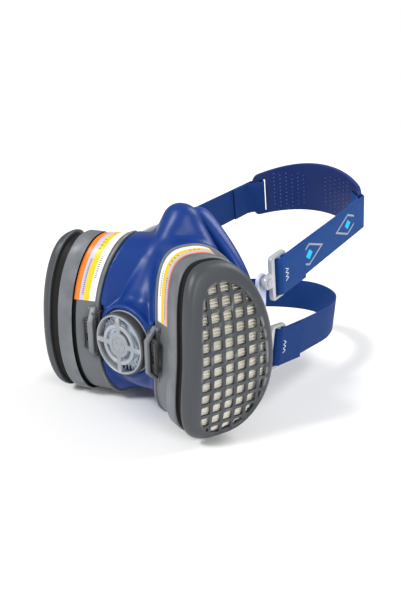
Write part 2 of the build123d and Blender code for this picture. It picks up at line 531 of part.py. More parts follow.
def buckle():
    """Three-bar slide with its pivot stud on the inner face."""
    half = BUCKLE_THICK / 2
    x = (BUCKLE_X - half, BUCKLE_X + half)
    solid = block(x, (FRONT_BAR, BUCKLE_END), (-BUCKLE_WIDTH / 2, BUCKLE_WIDTH / 2))
    solid = fillet(solid.edges().filter_by(Axis.X), 3.0)
    opening = BUCKLE_WIDTH / 2 - BUCKLE_RAIL
    for start in (FRONT_SLOT, REAR_SLOT):
        solid -= block((x[0] - 1, x[1] + 1), (start, start + BUCKLE_SLOT), (-opening, opening))
    turn = Rot(0, 90, 0)
    solid += turn * cylinder(EYE_R, *x)
    solid += block(x, (0, FRONT_BAR + 1), (-EYE_R, EYE_R))
    solid += turn * cylinder(STUD_R, YOKE_X - YOKE_THICK / 2 - 0.2, x[0] + 0.5)
    return solid


def buckle_weave():
    """Strap centre line through a buckle, from the tail's end to the main run."""
    return [
        (OUTSIDE + STRAP_THICK + 0.15, BUCKLE_END + TAIL_LENGTH - 8),
        (OUTSIDE + STRAP_THICK + 0.15, REAR_SLOT - 1.5),
        (OUTSIDE, MID_BAR - PLY),
        (INSIDE, MID_BAR - PLY),
        (INSIDE, REAR_SLOT + PLY),
        (OUTSIDE - 1.2, REAR_SLOT + PLY),
        (OUTSIDE, REAR_BAR - 0.8),
        (OUTSIDE, BUCKLE_END + 1.0),
    ]


def ribbon(points):
    """Webbing of the strap's width that stands on a plan path."""
    face = trace(Polyline(*points), STRAP_THICK)
    return extrude(Pos(0, 0, -STRAP_WIDTH / 2) * face, STRAP_WIDTH)


def place(pivot, rise, solid):
    """Turn a level loop about its pivot and move it to the yoke."""
    return Pos(0, pivot[0], pivot[1]) * Rot(rise, 0, 0) * solid


def cradle_point(arc, offset=0.0):
    """Plan point of the cradle's middle surface, offset outward."""
    radius = CRADLE_RADIUS + offset
    return radius * sin(radians(arc)), CRADLE_APEX - CRADLE_RADIUS + radius * cos(radians(arc))


def head_strap_path():
    """Plan path from the tail, through the buckle, to the sewn end at the cradle."""
    reach = CRADLE_THICK / 2 + PLY + 0.45
    end_arc = CRADLE_HALF_ARC + 1.0
    slot_arc = CRADLE_SLOT_ARC + 0.35
    first = cradle_point(end_arc, reach)
    tip_outer, tip_inner = cradle_point(slot_arc - 1.0, reach), cradle_point(slot_arc - 1.0, -reach)
    back = cradle_point(end_arc, -reach)
    start = buckle_weave()[-1]
    fold = []
    for distance in (8.0, FOLD_LENGTH):
        share = 1 - distance / (first[1] - start[1])
        x = start[0] + (first[0] - start[0]) * share - STRAP_THICK - 0.15
        fold.append((x, start[1] + (first[1] - start[1]) * share))
    return buckle_weave() + [first, tip_outer, tip_inner, back] + fold


head_strap = ribbon(head_strap_path())
one_side("head_strap", place(UPPER_PIVOT, HEAD_RISE, head_strap))
one_side("upper_buckle", place(UPPER_PIVOT, HEAD_RISE, buckle()))
one_side("lower_buckle", place(LOWER_PIVOT, NECK_RISE, buckle()))

weave = buckle_weave()
half_neck = weave + list(NECK_PATH)
curve = Spline((weave[-1]), *NECK_PATH, (0, NECK_APEX), *[(-x, y) for x, y in reversed(NECK_PATH)],
               (-weave[-1][0], weave[-1][1]), tangents=((-0.03, 1), (-0.03, -1)))
STEPS = 36
middle = [curve @ (i / STEPS) for i in range(STEPS + 1)]
neck_points = weave[:-1] + [(p.X, p.Y) for p in middle] + [(-x, y) for x, y in reversed(weave[:-1])]
NODES["neck_strap"] = place(LOWER_PIVOT, NECK_RISE, ribbon(neck_points))

pad = sector(CRADLE_RADIUS - CRADLE_THICK / 2, CRADLE_RADIUS + CRADLE_THICK / 2, 90 - CRADLE_HALF_ARC,
             2 * CRADLE_HALF_ARC, -60, 60)
half_chord = CRADLE_RADIUS * sin(radians(CRADLE_HALF_ARC))
top_end = CRADLE_HEIGHT_END / 2
shape = make_face([
    ThreePointArc((-half_chord, top_end), (0, CRADLE_HEIGHT_MID - top_end + CRADLE_DROP), (half_chord, top_end)),
    Line((half_chord, top_end), (half_chord, -top_end)),
    ThreePointArc((half_chord, -top_end), (0, -top_end + CRADLE_DROP), (-half_chord, -top_end)),
    Line((-half_chord, -top_end), (-half_chord, top_end)),
])
shape = fillet(shape.vertices(), 5.0)
outline = Rot(90, 0, 0) * extrude(shape, 220, both=True)
pad = Pos(0, CRADLE_APEX - CRADLE_RADIUS, 0) * pad & outline
for arc in (-CRADLE_SLOT_ARC, CRADLE_SLOT_ARC):
    x, y = cradle_point(arc)
    pad -= Pos(x, y, 0) * Rot(0, 0, -arc) * Box(CRADLE_SLOT_WIDTH, 4 * CRADLE_THICK, CRADLE_SLOT_HEIGHT)
NODES["head_cradle"] = place(UPPER_PIVOT, HEAD_RISE, pad)

# side yoke that joins the two buckles and holds to the seal's side
def yoke_outline(pivot_a, pivot_b):
    """Strip with round ends between two pivots, in the side view."""
    strip = trace(Line(pivot_a, pivot_b), 2 * YOKE_HALF_WIDTH)
    return strip + [Pos(*pivot_a) * Circle(YOKE_HALF_WIDTH), Pos(*pivot_b) * Circle(YOKE_HALF_WIDTH)]


side_view = Plane(origin=(YOKE_X - YOKE_THICK / 2, 0, 0), x_dir=(0, 1, 0), z_dir=(1, 0, 0)).location
yoke = side_view * extrude(yoke_outline(UPPER_PIVOT, LOWER_PIVOT), YOKE_THICK)
for pivot in (UPPER_PIVOT, LOWER_PIVOT):
    yoke -= Pos(YOKE_X, *pivot) * Rot(0, 90, 0) * cylinder(STUD_R + HINGE_CLEARANCE, -4, 4)
yoke += Pos(YOKE_X, *YOKE_STUD) * Rot(0, 90, 0) * cylinder(YOKE_STUD_R, SEAL_HALF_WIDTH - SEAL_LIP - YOKE_X, 0)
one_side("side_yoke", yoke)

# ================================================================ write
os.makedirs("parts", exist_ok=True)
for name, solid in NODES.items():
    export_step(solid, f"parts/{name}.step")
    print(name, round(solid.volume / 1000, 2), "cm3", len(solid.solids()), "solid")
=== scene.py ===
"""Half-mask respirator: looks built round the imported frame.

Sizes are in millimetres and are turned into metres where a mesh is made.
+X is the wearer's left, -Y is the front, +Z is up.
"""

import logging
import math
from collections.abc import Callable, Sequence
from dataclasses import dataclass, field
from enum import Enum

import bmesh
import bpy
import numpy as np
from mathutils import Matrix, Vector

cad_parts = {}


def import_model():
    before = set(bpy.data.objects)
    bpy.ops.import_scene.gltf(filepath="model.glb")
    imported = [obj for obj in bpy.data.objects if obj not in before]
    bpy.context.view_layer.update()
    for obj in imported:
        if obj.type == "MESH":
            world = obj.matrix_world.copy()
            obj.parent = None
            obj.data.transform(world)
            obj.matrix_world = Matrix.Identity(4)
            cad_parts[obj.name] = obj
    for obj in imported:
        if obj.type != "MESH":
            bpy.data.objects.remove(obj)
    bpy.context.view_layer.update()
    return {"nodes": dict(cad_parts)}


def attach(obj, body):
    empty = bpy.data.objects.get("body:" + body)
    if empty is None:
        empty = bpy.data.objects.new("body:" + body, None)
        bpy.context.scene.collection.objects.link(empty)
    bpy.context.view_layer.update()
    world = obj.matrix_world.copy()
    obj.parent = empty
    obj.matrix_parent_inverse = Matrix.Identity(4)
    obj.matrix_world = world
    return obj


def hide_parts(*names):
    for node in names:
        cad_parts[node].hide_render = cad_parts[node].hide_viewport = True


LOG = logging.getLogger("respirator")
MM = 0.001
Array = np.ndarray
Colour = tuple[float, float, float]


class Side(Enum):
    """Side of the wearer, with the sign of its X axis."""

    LEFT = 1
    RIGHT = -1

    @property
    def suffix(self) -> str:
        """Ending of the names of this side's nodes and bodies."""
        return self.name.lower()


# ---------------------------------------------------------------- meshes
def new_object(name: str, points: Array, faces: Sequence[Sequence[int]], smooth: bool = True) -> bpy.types.Object:
    """Make a mesh object from points in millimetres.

    Args:
        name: Name of the object.
        points: Vertices, in millimetres.
        faces: Vertex numbers of each face.
        smooth: Whether its faces are smooth shaded.

    Returns:
        The object, linked to the scene.
    """
    mesh = bpy.data.meshes.new(name)
    mesh.from_pydata((np.asarray(points, float) * MM).tolist(), [], [list(face) for face in faces])
    mesh.update()
    mesh.polygons.foreach_set("use_smooth", [smooth] * len(mesh.polygons))
    obj = bpy.data.objects.new(name, mesh)
    bpy.context.scene.collection.objects.link(obj)
    return obj


def outward(obj: bpy.types.Object, merge: float = 0.01) -> None:
    """Merge doubles and turn a closed mesh's faces outward.

    Args:
        obj: Mesh object to mend.
        merge: Merging distance, in millimetres.
    """
    work = bmesh.new()
    work.from_mesh(obj.data)
    bmesh.ops.remove_doubles(work, verts=work.verts, dist=merge * MM)
    bmesh.ops.recalc_face_normals(work, faces=work.faces)
    work.to_mesh(obj.data)
    work.free()


def apply_modifiers(obj: bpy.types.Object) -> None:
    """Replace an object's mesh by its evaluated one and drop its modifiers."""
    depsgraph = bpy.context.evaluated_depsgraph_get()
    mesh = bpy.data.meshes.new_from_object(obj.evaluated_get(depsgraph), depsgraph=depsgraph)
    obj.modifiers.clear()
    old, obj.data = obj.data, mesh
    bpy.data.meshes.remove(old)


def join(name: str, objects: Sequence[bpy.types.Object]) -> bpy.types.Object:
    """Join mesh objects into one.

    Args:
        name: Name of the joined object.
        objects: Mesh objects, which are used up.

    Returns:
        The joined object.
    """
    work = bmesh.new()
    layers = {}
    for obj in objects:
        work.from_mesh(obj.data)
    mesh = bpy.data.meshes.new(name)
    work.to_mesh(mesh)
    work.free()
    for obj in objects:
        bpy.data.objects.remove(obj)
    joined = bpy.data.objects.new(name, mesh)
    bpy.context.scene.collection.objects.link(joined)
    return joined


def bevel(obj: bpy.types.Object, width: float, segments: int = 2, angle: float = 35.0) -> None:
    """Round a mesh's sharp edges.

    Args:
        obj: Mesh object.
        width: Bevel width, in millimetres.
        segments: Number of segments.
        angle: Least angle of an edge that is rounded, in degrees.
    """
    modifier = obj.modifiers.new("round", "BEVEL")
    modifier.width = width * MM
    modifier.segments = segments
    modifier.limit_method = "ANGLE"
    modifier.angle_limit = math.radians(angle)
    modifier.harden_normals = False
    apply_modifiers(obj)


def soften(obj: bpy.types.Object, angle: float = 40.0) -> None:
    """Shade a mesh smooth, with edges sharper than an angle kept crisp."""
    obj.data.polygons.foreach_set("use_smooth", [True] * len(obj.data.polygons))
    obj.data.set_sharp_from_angle(angle=math.radians(angle))


def loft(rings: Sequence[Array], closed: bool = True, around: bool = False) -> tuple[Array, list[list[int]]]:
    """Join rings of equal point counts into a skin.

    Args:
        rings: Points of each ring.
        closed: Whether the first and last rings are filled.
        around: Whether the last ring joins the first one.

    Returns:
        Points and faces.
    """
    count = len(rings[0])
    points = np.concatenate(rings)
    faces = []
    pairs = list(zip(range(len(rings) - 1), range(1, len(rings))))
    if around:
        pairs.append((len(rings) - 1, 0))
    for low, high in pairs:
        for i in range(count):
            j = (i + 1) % count
            faces.append([low * count + i, low * count + j, high * count + j, high * count + i])
    if closed and not around:
        for ring, reverse in ((0, True), (len(rings) - 1, False)):
            hub = len(points)
            points = np.vstack([points, rings[ring].mean(axis=0)])
            for i in range(count):
                j = (i + 1) % count
                tri = [ring * count + i, ring * count + j, hub]
                faces.append(tri[::-1] if reverse else tri)
    return points, faces


def box_mesh(x: tuple[float, float], y: tuple[float, float], z: tuple[float, float]) -> tuple[Array, list[list[int]]]:
    """Points and faces of a box between two values along each axis."""
    points = np.array([(a, b, c) for a in x for b in y for c in z], float)
    return points, [[0, 1, 3, 2], [4, 6, 7, 5], [0, 4, 5, 1], [2, 3, 7, 6], [0, 2, 6, 4], [1, 5, 7, 3]]


def lathe(profile: Sequence[tuple[float, float]], segments: int = 96) -> tuple[Array, list[list[int]]]:
    """Turn a closed profile about the Z axis.

    Args:
        profile: Radius and height of each point, round the section.
        segments: Number of steps round the axis.

    Returns:
        Points and faces of a closed ring.
    """
    angles = np.linspace(0, 2 * math.pi, segments, endpoint=False)
    rings = [np.array([(r * math.cos(a), r * math.sin(a), z) for r, z in profile]) for a in angles]
    return loft(rings, around=True)


def round_corners(path: Sequence[Sequence[float]], radius: float, steps: int = 4, loop: bool = False) -> Array:
    """Round the corners of a path in any number of dimensions.

    Args:
        path: Points of the path.
        radius: Length taken from each run at a corner.
        steps: Points that replace a corner, less one.
        loop: Whether the path is closed.

    Returns:
        The rounded path.
    """
    points = np.asarray(path, float)
    count = len(points)
    result = []
    for i, corner in enumerate(points):
        if not loop and i in (0, count - 1):
            result.append(corner)
            continue
        before, after = points[i - 1] - corner, points[(i + 1) % count] - corner
        near = before * min(radius / np.linalg.norm(before), 0.49)
        far = after * min(radius / np.linalg.norm(after), 0.49)
        for k in range(steps + 1):
            t = k / steps
            result.append(corner + near * (1 - t) ** 2 + far * t ** 2)
    return np.array(result)


# ---------------------------------------------------------------- node trees
class Graph:
    """Short way to add and join the nodes of one tree."""

    def __init__(self, tree: bpy.types.NodeTree) -> None:
        """Keep the tree."""
        self.tree = tree

    def add(self, kind: str, inputs: dict[str | int, object] | None = None, **settings: object) -> bpy.types.Node:
        """Add a node.

        Args:
            kind: Type name of the node.
            inputs: Value or output socket for each named or numbered input.
            settings: Properties of the node.

        Returns:
            The node.
        """
        node = self.tree.nodes.new(kind)
        for key, value in settings.items():
            setattr(node, key, value)
        for key, value in (inputs or {}).items():
            self.put(node.inputs[key], value)
        return node

    def put(self, socket: bpy.types.NodeSocket, value: object) -> None:
        """Give an input a value, or link it to an output."""
        if isinstance(value, bpy.types.NodeSocket):
            self.tree.links.new(value, socket)
        else:
            socket.default_value = value

    def math(self, operation: str, *values: object, clamp: bool = False) -> bpy.types.NodeSocket:
        """Result of a Math node on values or sockets."""
        node = self.add(self.math_kind(), dict(enumerate(values)), operation=operation)
        node.use_clamp = clamp
        return node.outputs[0]

    def math_kind(self) -> str:
        """Type name of the Math node, the same in both kinds of tree."""
        return "ShaderNodeMath"

    def smooth(self, value: object, low: float, high: float) -> bpy.types.NodeSocket:
        """Smooth step of a value between two limits."""
        node = self.add("ShaderNodeMapRange", {0: value, 1: low, 2: high}, interpolation_type="SMOOTHSTEP")
        return node.outputs[0]

    def mix(self, factor: object, first: object, second: object) -> bpy.types.NodeSocket:
        """Mixed colour of two colours or sockets."""
        node = self.add("ShaderNodeMix", {0: factor, 6: first, 7: second}, data_type="RGBA")
        return node.outputs[2]


def rgba(colour: Colour) -> tuple[float, float, float, float]:
    """Colour with full alpha."""
    return (*colour, 1.0)


def shared_group(name: str, inputs: dict[str, tuple[str, object]], outputs: dict[str, str]) -> tuple[Graph, bpy.types.Node, bpy.types.Node]:
    """Start a shader node group.

    Args:
        name: Name of the group.
        inputs: Socket type and default of each input.
        outputs: Socket type of each output.

    Returns:
        The graph, its input node and its output node.
    """
    tree = bpy.data.node_groups.new(name, "ShaderNodeTree")
    for key, (kind, default) in inputs.items():
        socket = tree.interface.new_socket(key, in_out="INPUT", socket_type=kind)
        socket.default_value = default
    for key, kind in outputs.items():
        tree.interface.new_socket(key, in_out="OUTPUT", socket_type=kind)
    graph = Graph(tree)
    return graph, graph.add("NodeGroupInput"), graph.add("NodeGroupOutput")


FLOAT, COLOUR, VECTOR = "NodeSocketFloat", "NodeSocketColor", "NodeSocketVector"


def moulded_group() -> bpy.types.NodeTree:
    """Group for moulded plastic and rubber: spark-eroded grain, faint mottling, and lighter convex edges that are
    partly wear and partly a painted edge highlight.
    """
    graph, source, sink = shared_group(
        "moulded surface",
        {
            "Colour": (COLOUR, (0.5, 0.5, 0.5, 1)), "Worn Colour": (COLOUR, (0.7, 0.7, 0.7, 1)),
            "Grain Size": (FLOAT, 0.4), "Grain Depth": (FLOAT, 0.2), "Mottle": (FLOAT, 0.08),
            "Wear": (FLOAT, 0.3), "Roughness": (FLOAT, 0.5), "Roughness Spread": (FLOAT, 0.08),
        },
        {"Colour": COLOUR, "Roughness": FLOAT, "Height": FLOAT},
    )
    where = graph.add("ShaderNodeTexCoord").outputs["Object"]
    scale = graph.math("DIVIDE", 1.0 / MM, source.outputs["Grain Size"])
    grain = graph.add("ShaderNodeTexNoise", {"Vector": where, "Scale": scale, "Detail": 3.0, "Roughness": 0.6})
    cloud = graph.add("ShaderNodeTexNoise", {"Vector": where, "Scale": 55.0, "Detail": 4.0})
    shade = graph.math("MULTIPLY_ADD", graph.math("SUBTRACT", cloud.outputs[0], 0.5), source.outputs["Mottle"], 1.0)
    fine = graph.math("MULTIPLY_ADD", graph.math("SUBTRACT", grain.outputs[0], 0.5), 0.12, shade)
    toned = graph.add("ShaderNodeVectorMath", {0: source.outputs["Colour"]}, operation="SCALE")
    graph.put(toned.inputs["Scale"], fine)
    # convex edges blend towards the lighter edge colour: partly wear, partly a painted highlight standing in for
    # rounded edges catching light
    edge = graph.smooth(graph.add("ShaderNodeNewGeometry").outputs["Pointiness"], 0.52, 0.60)
    patch = graph.smooth(cloud.outputs[0], 0.35, 0.6)
    worn = graph.math("MULTIPLY", graph.math("MULTIPLY", edge, patch), source.outputs["Wear"], clamp=True)
    graph.put(sink.inputs["Colour"], graph.mix(worn, toned.outputs[0], source.outputs["Worn Colour"]))
    spread = graph.math("MULTIPLY", graph.math("SUBTRACT", cloud.outputs[0], 0.5), source.outputs["Roughness Spread"])
    graph.put(sink.inputs["Roughness"], graph.math("ADD", source.outputs["Roughness"], spread, clamp=True))
    graph.put(sink.inputs["Height"], graph.math("MULTIPLY", grain.outputs[0], source.outputs["Grain Depth"]))
    return graph.tree


def weave_group() -> bpy.types.NodeTree:
    """Group for woven webbing: warp ribs along the strap, weft across, on the piece's UV in millimetres, with painted
    shade darkening the valleys between ribs.
    """
    graph, source, sink = shared_group(
        "webbing weave",
        {
            "Colour": (COLOUR, (0.1, 0.2, 0.5, 1)), "Valley": (COLOUR, (0.02, 0.04, 0.1, 1)),
            "Warp Pitch": (FLOAT, 1.0), "Weft Pitch": (FLOAT, 0.8),
        },
        {"Colour": COLOUR, "Height": FLOAT},
    )
    uv = graph.add("ShaderNodeUVMap", uv_map="strap").outputs[0]
    split = graph.add("ShaderNodeSeparateXYZ", {0: uv})
    along, across = split.outputs[0], split.outputs[1]
    column = graph.math("FLOOR", graph.math("DIVIDE", across, source.outputs["Warp Pitch"]))
    offset = graph.math("MULTIPLY", graph.math("MODULO", column, 2.0), 0.5)
    rib = graph.math("ABSOLUTE", graph.math("SINE", graph.math("MULTIPLY", graph.math("DIVIDE", across, source.outputs["Warp Pitch"]), math.pi)))
    step = graph.math("ADD", graph.math("DIVIDE", along, source.outputs["Weft Pitch"]), offset)
    bump = graph.math("ABSOLUTE", graph.math("SINE", graph.math("MULTIPLY", step, math.pi)))
    height = graph.math("MULTIPLY", graph.math("POWER", rib, 0.6), graph.math("MULTIPLY_ADD", bump, 0.55, 0.45))
    fuzz = graph.add("ShaderNodeTexNoise", {"Vector": uv, "Scale": 2.2, "Detail": 5.0, "Roughness": 0.7}).outputs[0]
    # painted shade: the darker valley colour fills the low parts of the weave, where shade falls; the noise adds random
    # tone
    tone = graph.math("MULTIPLY_ADD", graph.math("SUBTRACT", fuzz, 0.5), 0.5, height, clamp=True)
    graph.put(sink.inputs["Colour"], graph.mix(tone, source.outputs["Valley"], source.outputs["Colour"]))
    graph.put(sink.inputs["Height"], graph.math("MULTIPLY_ADD", fuzz, 0.3, height))
    return graph.tree


@dataclass(frozen=True)
class Finish:
    """Look of one moulded material."""

    name: str
    colour: Colour
    roughness: float
    # lighter colour on convex edges, and its amount below: wear and painted edge highlight
    worn: Colour = (0.6, 0.6, 0.6)
    grain_size: float = 0.45
    grain_depth: float = 0.25
    bump: float = 0.15
    mottle: float = 0.10
    wear: float = 0.25
    spread: float = 0.08
    specular: float = 0.5
    coat: float = 0.0
    coat_roughness: float = 0.2
    subsurface: float = 0.0
    transmission: float = 0.0
    alpha: float = 1.0
    sheen: float = 0.0
    metallic: float = 0.0

    def build(self) -> bpy.types.Material:
        """Make the material."""
        material = bpy.data.materials.new(self.name)
        material.use_nodes = True
        graph = Graph(material.node_tree)
        shader = material.node_tree.nodes["Principled BSDF"]
        group = graph.add("ShaderNodeGroup", node_tree=bpy.data.node_groups["moulded surface"])
        values = {
            "Colour": rgba(self.colour), "Worn Colour": rgba(self.worn), "Grain Size": self.grain_size,
            "Grain Depth": self.grain_depth, "Mottle": self.mottle, "Wear": self.wear,
            "Roughness": self.roughness, "Roughness Spread": self.spread,
        }
        for key, value in values.items():
            group.inputs[key].default_value = value
        graph.put(shader.inputs["Base Color"], group.outputs["Colour"])
        graph.put(shader.inputs["Roughness"], group.outputs["Roughness"])
        relief = graph.add("ShaderNodeBump", {"Strength": self.bump, "Distance": 0.0002, "Height": group.outputs["Height"]})
        graph.put(shader.inputs["Normal"], relief.outputs[0])
        plain = {
            "Specular IOR Level": self.specular, "Coat Weight": self.coat, "Coat Roughness": self.coat_roughness,
            "Subsurface Weight": self.subsurface, "Transmission Weight": self.transmission, "Alpha": self.alpha,
            "Sheen Weight": self.sheen, "Metallic": self.metallic,
        }
        for key, value in plain.items():
            shader.inputs[key].default_value = value
        shader.inputs["Subsurface Radius"].default_value = (0.002, 0.002, 0.004)
        return material


@dataclass(frozen=True)
class Webbing:
    """Look of woven strap, with an optional printed motif in its middle."""

    name: str
    colour: Colour
    # darker colour of the weave's valleys: painted shade
    valley: Colour
    motif: bool = False

    def build(self) -> bpy.types.Material:
        """Make the material."""
        material = bpy.data.materials.new(self.name)
        material.use_nodes = True
        graph = Graph(material.node_tree)
        shader = material.node_tree.nodes["Principled BSDF"]
        group = graph.add("ShaderNodeGroup", node_tree=bpy.data.node_groups["webbing weave"])
        group.inputs["Colour"].default_value = rgba(self.colour)
        group.inputs["Valley"].default_value = rgba(self.valley)
        group.inputs["Warp Pitch"].default_value = 0.95
        group.inputs["Weft Pitch"].default_value = 0.8
        colour = group.outputs["Colour"]
        if self.motif:
            colour = self.printed(graph, colour)
        graph.put(shader.inputs["Base Color"], colour)
        relief = graph.add("ShaderNodeBump", {"Strength": 0.55, "Distance": 0.0003, "Height": group.outputs["Height"]})
        graph.put(shader.inputs["Normal"], relief.outputs[0])
        shader.inputs["Roughness"].default_value = 0.82
        shader.inputs["Sheen Weight"].default_value = 0.04
        shader.inputs["Sheen Roughness"].default_value = 0.4
        shader.inputs["Specular IOR Level"].default_value = 0.12
        return material

    @staticmethod
    def printed(graph: Graph, ground: bpy.types.NodeSocket) -> bpy.types.NodeSocket:
        """Lay a repeated outline diamond with a bright dot over the webbing.

        Args:
            graph: Graph of the material.
            ground: Colour of the webbing.

        Returns:
            The printed colour.
        """
        uv = graph.add("ShaderNodeUVMap", uv_map="strap").outputs[0]
        split = graph.add("ShaderNodeSeparateXYZ", {0: uv})
        pitch = 56.0
        shift = graph.math("SUBTRACT", split.outputs[0], 44.0)
        cell = graph.math("SUBTRACT", graph.math("MULTIPLY", graph.math("FRACT", graph.math("DIVIDE", shift, pitch)), pitch), pitch / 2)
        run = graph.math("ABSOLUTE", cell)
        rise = graph.math("ABSOLUTE", split.outputs[1])
        wide = graph.math("ADD", graph.math("DIVIDE", run, 19.0), graph.math("DIVIDE", rise, 7.6))
        outline = graph.math("SUBTRACT", graph.smooth(wide, 0.80, 0.84), graph.smooth(wide, 0.98, 1.02))
        pip = graph.math("SUBTRACT", 1.0, graph.smooth(graph.math("ADD", graph.math("DIVIDE", run, 4.6), graph.math("DIVIDE", rise, 3.6)), 0.92, 1.0))
        inside = graph.smooth(shift, 0.0, 0.5)
        limit = graph.math("SUBTRACT", 1.0, graph.smooth(split.outputs[0], 138.0, 138.5))
        keep = graph.math("MULTIPLY", inside, limit)
        grey = graph.mix(graph.math("MULTIPLY", graph.math("MULTIPLY", outline, keep), 0.85), ground, rgba((0.36, 0.38, 0.42)))
        return graph.mix(graph.math("MULTIPLY", graph.math("MULTIPLY", pip, keep), 0.95), grey, rgba((0.02, 0.52, 0.85)))


@dataclass(frozen=True)
class LabelPrint:
    """Look of the printed cartridge label: four colour bands with generic marks."""

    name: str = "label print"
    white: Colour = (0.78, 0.78, 0.77)
    yellow: Colour = (0.84, 0.52, 0.004)
    lilac: Colour = (0.46, 0.46, 0.64)
    orange: Colour = (0.84, 0.19, 0.008)
    ink: Colour = (0.05, 0.05, 0.06)

    def build(self) -> bpy.types.Material:
        """Make the material from the label's own UV, across 0 to 1 and along in millimetres."""
        material = bpy.data.materials.new(self.name)
        material.use_nodes = True
        graph = Graph(material.node_tree)
        shader = material.node_tree.nodes["Principled BSDF"]
        uv = graph.add("ShaderNodeUVMap", uv_map="label").outputs[0]
        split = graph.add("ShaderNodeSeparateXYZ", {0: uv})
        along, across = split.outputs[0], split.outputs[1]
        colour: object = rgba(self.white)
        for start, tone in ((0.30, self.yellow), (0.56, self.lilac), (0.76, self.orange)):
            colour = graph.mix(graph.smooth(across, start - 0.006, start + 0.006), colour, rgba(tone))
        rows = ((0.44, 2.6, 0.42, 7.0, 15.0), (0.50, 2.4, 0.35, 20.0, 30.0), (0.20, 1.3, 0.5, 34.0, 48.0), (0.62, 1.2, 0.5, 36.0, 58.0))
        for centre, pitch, duty, start, end in rows:
            dash = graph.math("LESS_THAN", graph.math("FRACT", graph.math("DIVIDE", along, pitch)), duty)
            line = graph.math("LESS_THAN", graph.math("ABSOLUTE", graph.math("SUBTRACT", across, centre)), 0.045)
            window = graph.math("MULTIPLY", graph.math("GREATER_THAN", along, start), graph.math("LESS_THAN", along, end))
            mark = graph.math("MULTIPLY", graph.math("MULTIPLY", dash, line), window)
            colour = graph.mix(graph.math("MULTIPLY", mark, 0.85), colour, rgba(self.ink))
        fibre = graph.add("ShaderNodeTexNoise", {"Vector": graph.add("ShaderNodeTexCoord").outputs["Object"], "Scale": 900.0, "Detail": 3.0})
        graph.put(shader.inputs["Base Color"], colour)
        graph.put(shader.inputs["Roughness"], graph.math("MULTIPLY_ADD", fibre.outputs[0], 0.12, 0.30))
        relief = graph.add("ShaderNodeBump", {"Strength": 0.08, "Distance": 0.0002, "Height": fibre.outputs[0]})
        graph.put(shader.inputs["Normal"], relief.outputs[0])
        return material


FINISHES = (
    Finish("facepiece rubber", (0.005, 0.034, 0.190), 0.36, worn=(0.02, 0.08, 0.34), grain_size=0.6, grain_depth=0.3, bump=0.10, mottle=0.14, wear=0.30, specular=0.26),
    Finish("seal rubber", (0.006, 0.040, 0.215), 0.34, worn=(0.03, 0.09, 0.38), grain_size=0.5, bump=0.08, mottle=0.12, wear=0.25, specular=0.28),
    Finish("cartridge plastic", (0.120, 0.129, 0.139), 0.40, worn=(0.34, 0.36, 0.38), grain_size=0.35, grain_depth=0.5, bump=0.30, mottle=0.12, wear=0.6, specular=0.35),
    Finish("cap plastic", (0.048, 0.053, 0.059), 0.42, worn=(0.26, 0.275, 0.29), grain_size=0.35, grain_depth=0.5, bump=0.30, mottle=0.12, wear=0.6, specular=0.35),
    Finish("dark plastic", (0.030, 0.031, 0.033), 0.45, worn=(0.12, 0.12, 0.13), grain_size=0.35, bump=0.2, wear=0.4),
    Finish("light plastic", (0.25, 0.27, 0.29), 0.34, worn=(0.50, 0.53, 0.56), grain_size=0.35, grain_depth=0.3, bump=0.18, mottle=0.08, wear=0.5),
    Finish("buckle plastic", (0.36, 0.38, 0.42), 0.20, worn=(0.62, 0.65, 0.70), grain_size=0.5, grain_depth=0.15, bump=0.1, mottle=0.05, wear=0.5, coat=0.3, coat_roughness=0.1),
    Finish("yoke plastic", (0.55, 0.60, 0.80), 0.25, worn=(0.75, 0.8, 0.92), grain_size=0.6, bump=0.06, mottle=0.04, wear=0.2, subsurface=0.2, coat=0.3, coat_roughness=0.15),
    Finish("filter paper", (0.84, 0.81, 0.72), 0.90, worn=(0.92, 0.90, 0.83), grain_size=0.5, grain_depth=0.8, bump=0.4, mottle=0.25, wear=0.2, specular=0.2, sheen=0.1),
    Finish("cradle rubber", (0.010, 0.026, 0.125), 0.42, worn=(0.03, 0.06, 0.22), grain_size=0.4, bump=0.15, mottle=0.10, wear=0.3, specular=0.22),
    Finish("flap silicone", (0.50, 0.62, 0.76), 0.14, worn=(0.7, 0.8, 0.9), grain_size=0.8, bump=0.04, mottle=0.05, wear=0.2, subsurface=0.3, coat=0.6, coat_roughness=0.08),
    # painted shade: near-black material laid on the cartridge's groove floors and band undercut
    Finish("groove plastic", (0.010, 0.010, 0.011), 0.6, worn=(0.02, 0.02, 0.02), grain_size=0.4, bump=0.1, wear=0.1, specular=0.2),
    Finish("gasket rubber", (0.012, 0.012, 0.013), 0.55, grain_size=0.4, bump=0.2, wear=0.1),
    Finish("carbon grains", (0.010, 0.010, 0.011), 0.65, worn=(0.08, 0.08, 0.08), grain_size=1.6, grain_depth=1.0, bump=1.0, mottle=0.4, wear=0.5),
    Finish("screen mesh", (0.60, 0.60, 0.58), 0.70, grain_size=0.9, grain_depth=0.9, bump=0.6, mottle=0.2),
    Finish("clear plastic", (0.62, 0.68, 0.76), 0.12, worn=(0.8, 0.85, 0.9), grain_size=0.8, bump=0.04, mottle=0.05, wear=0.2, subsurface=0.15, coat=0.6, coat_roughness=0.06),
    Finish("dome rubber", (0.022, 0.046, 0.19), 0.30, worn=(0.10, 0.16, 0.38), grain_size=0.4, bump=0.1, wear=0.3, coat=0.3, coat_roughness=0.2),
    Finish("tack thread", (0.75, 0.76, 0.72), 0.7, grain_size=0.3, grain_depth=0.6, bump=0.5, mottle=0.2, wear=0.1),
    Finish("pin steel", (0.60, 0.60, 0.62), 0.28, worn=(0.75, 0.75, 0.77), grain_size=0.3, bump=0.08, metallic=1.0),
)
WEBBINGS = (
    Webbing("strap webbing", (0.014, 0.074, 0.285), (0.005, 0.026, 0.115), motif=True),
    Webbing("plain webbing", (0.009, 0.050, 0.215), (0.004, 0.019, 0.088)),
)


def paint(obj: bpy.types.Object, material: str) -> None:
    """Give an object one named material."""
    obj.data.materials.clear()
    obj.data.materials.append(bpy.data.materials[material])


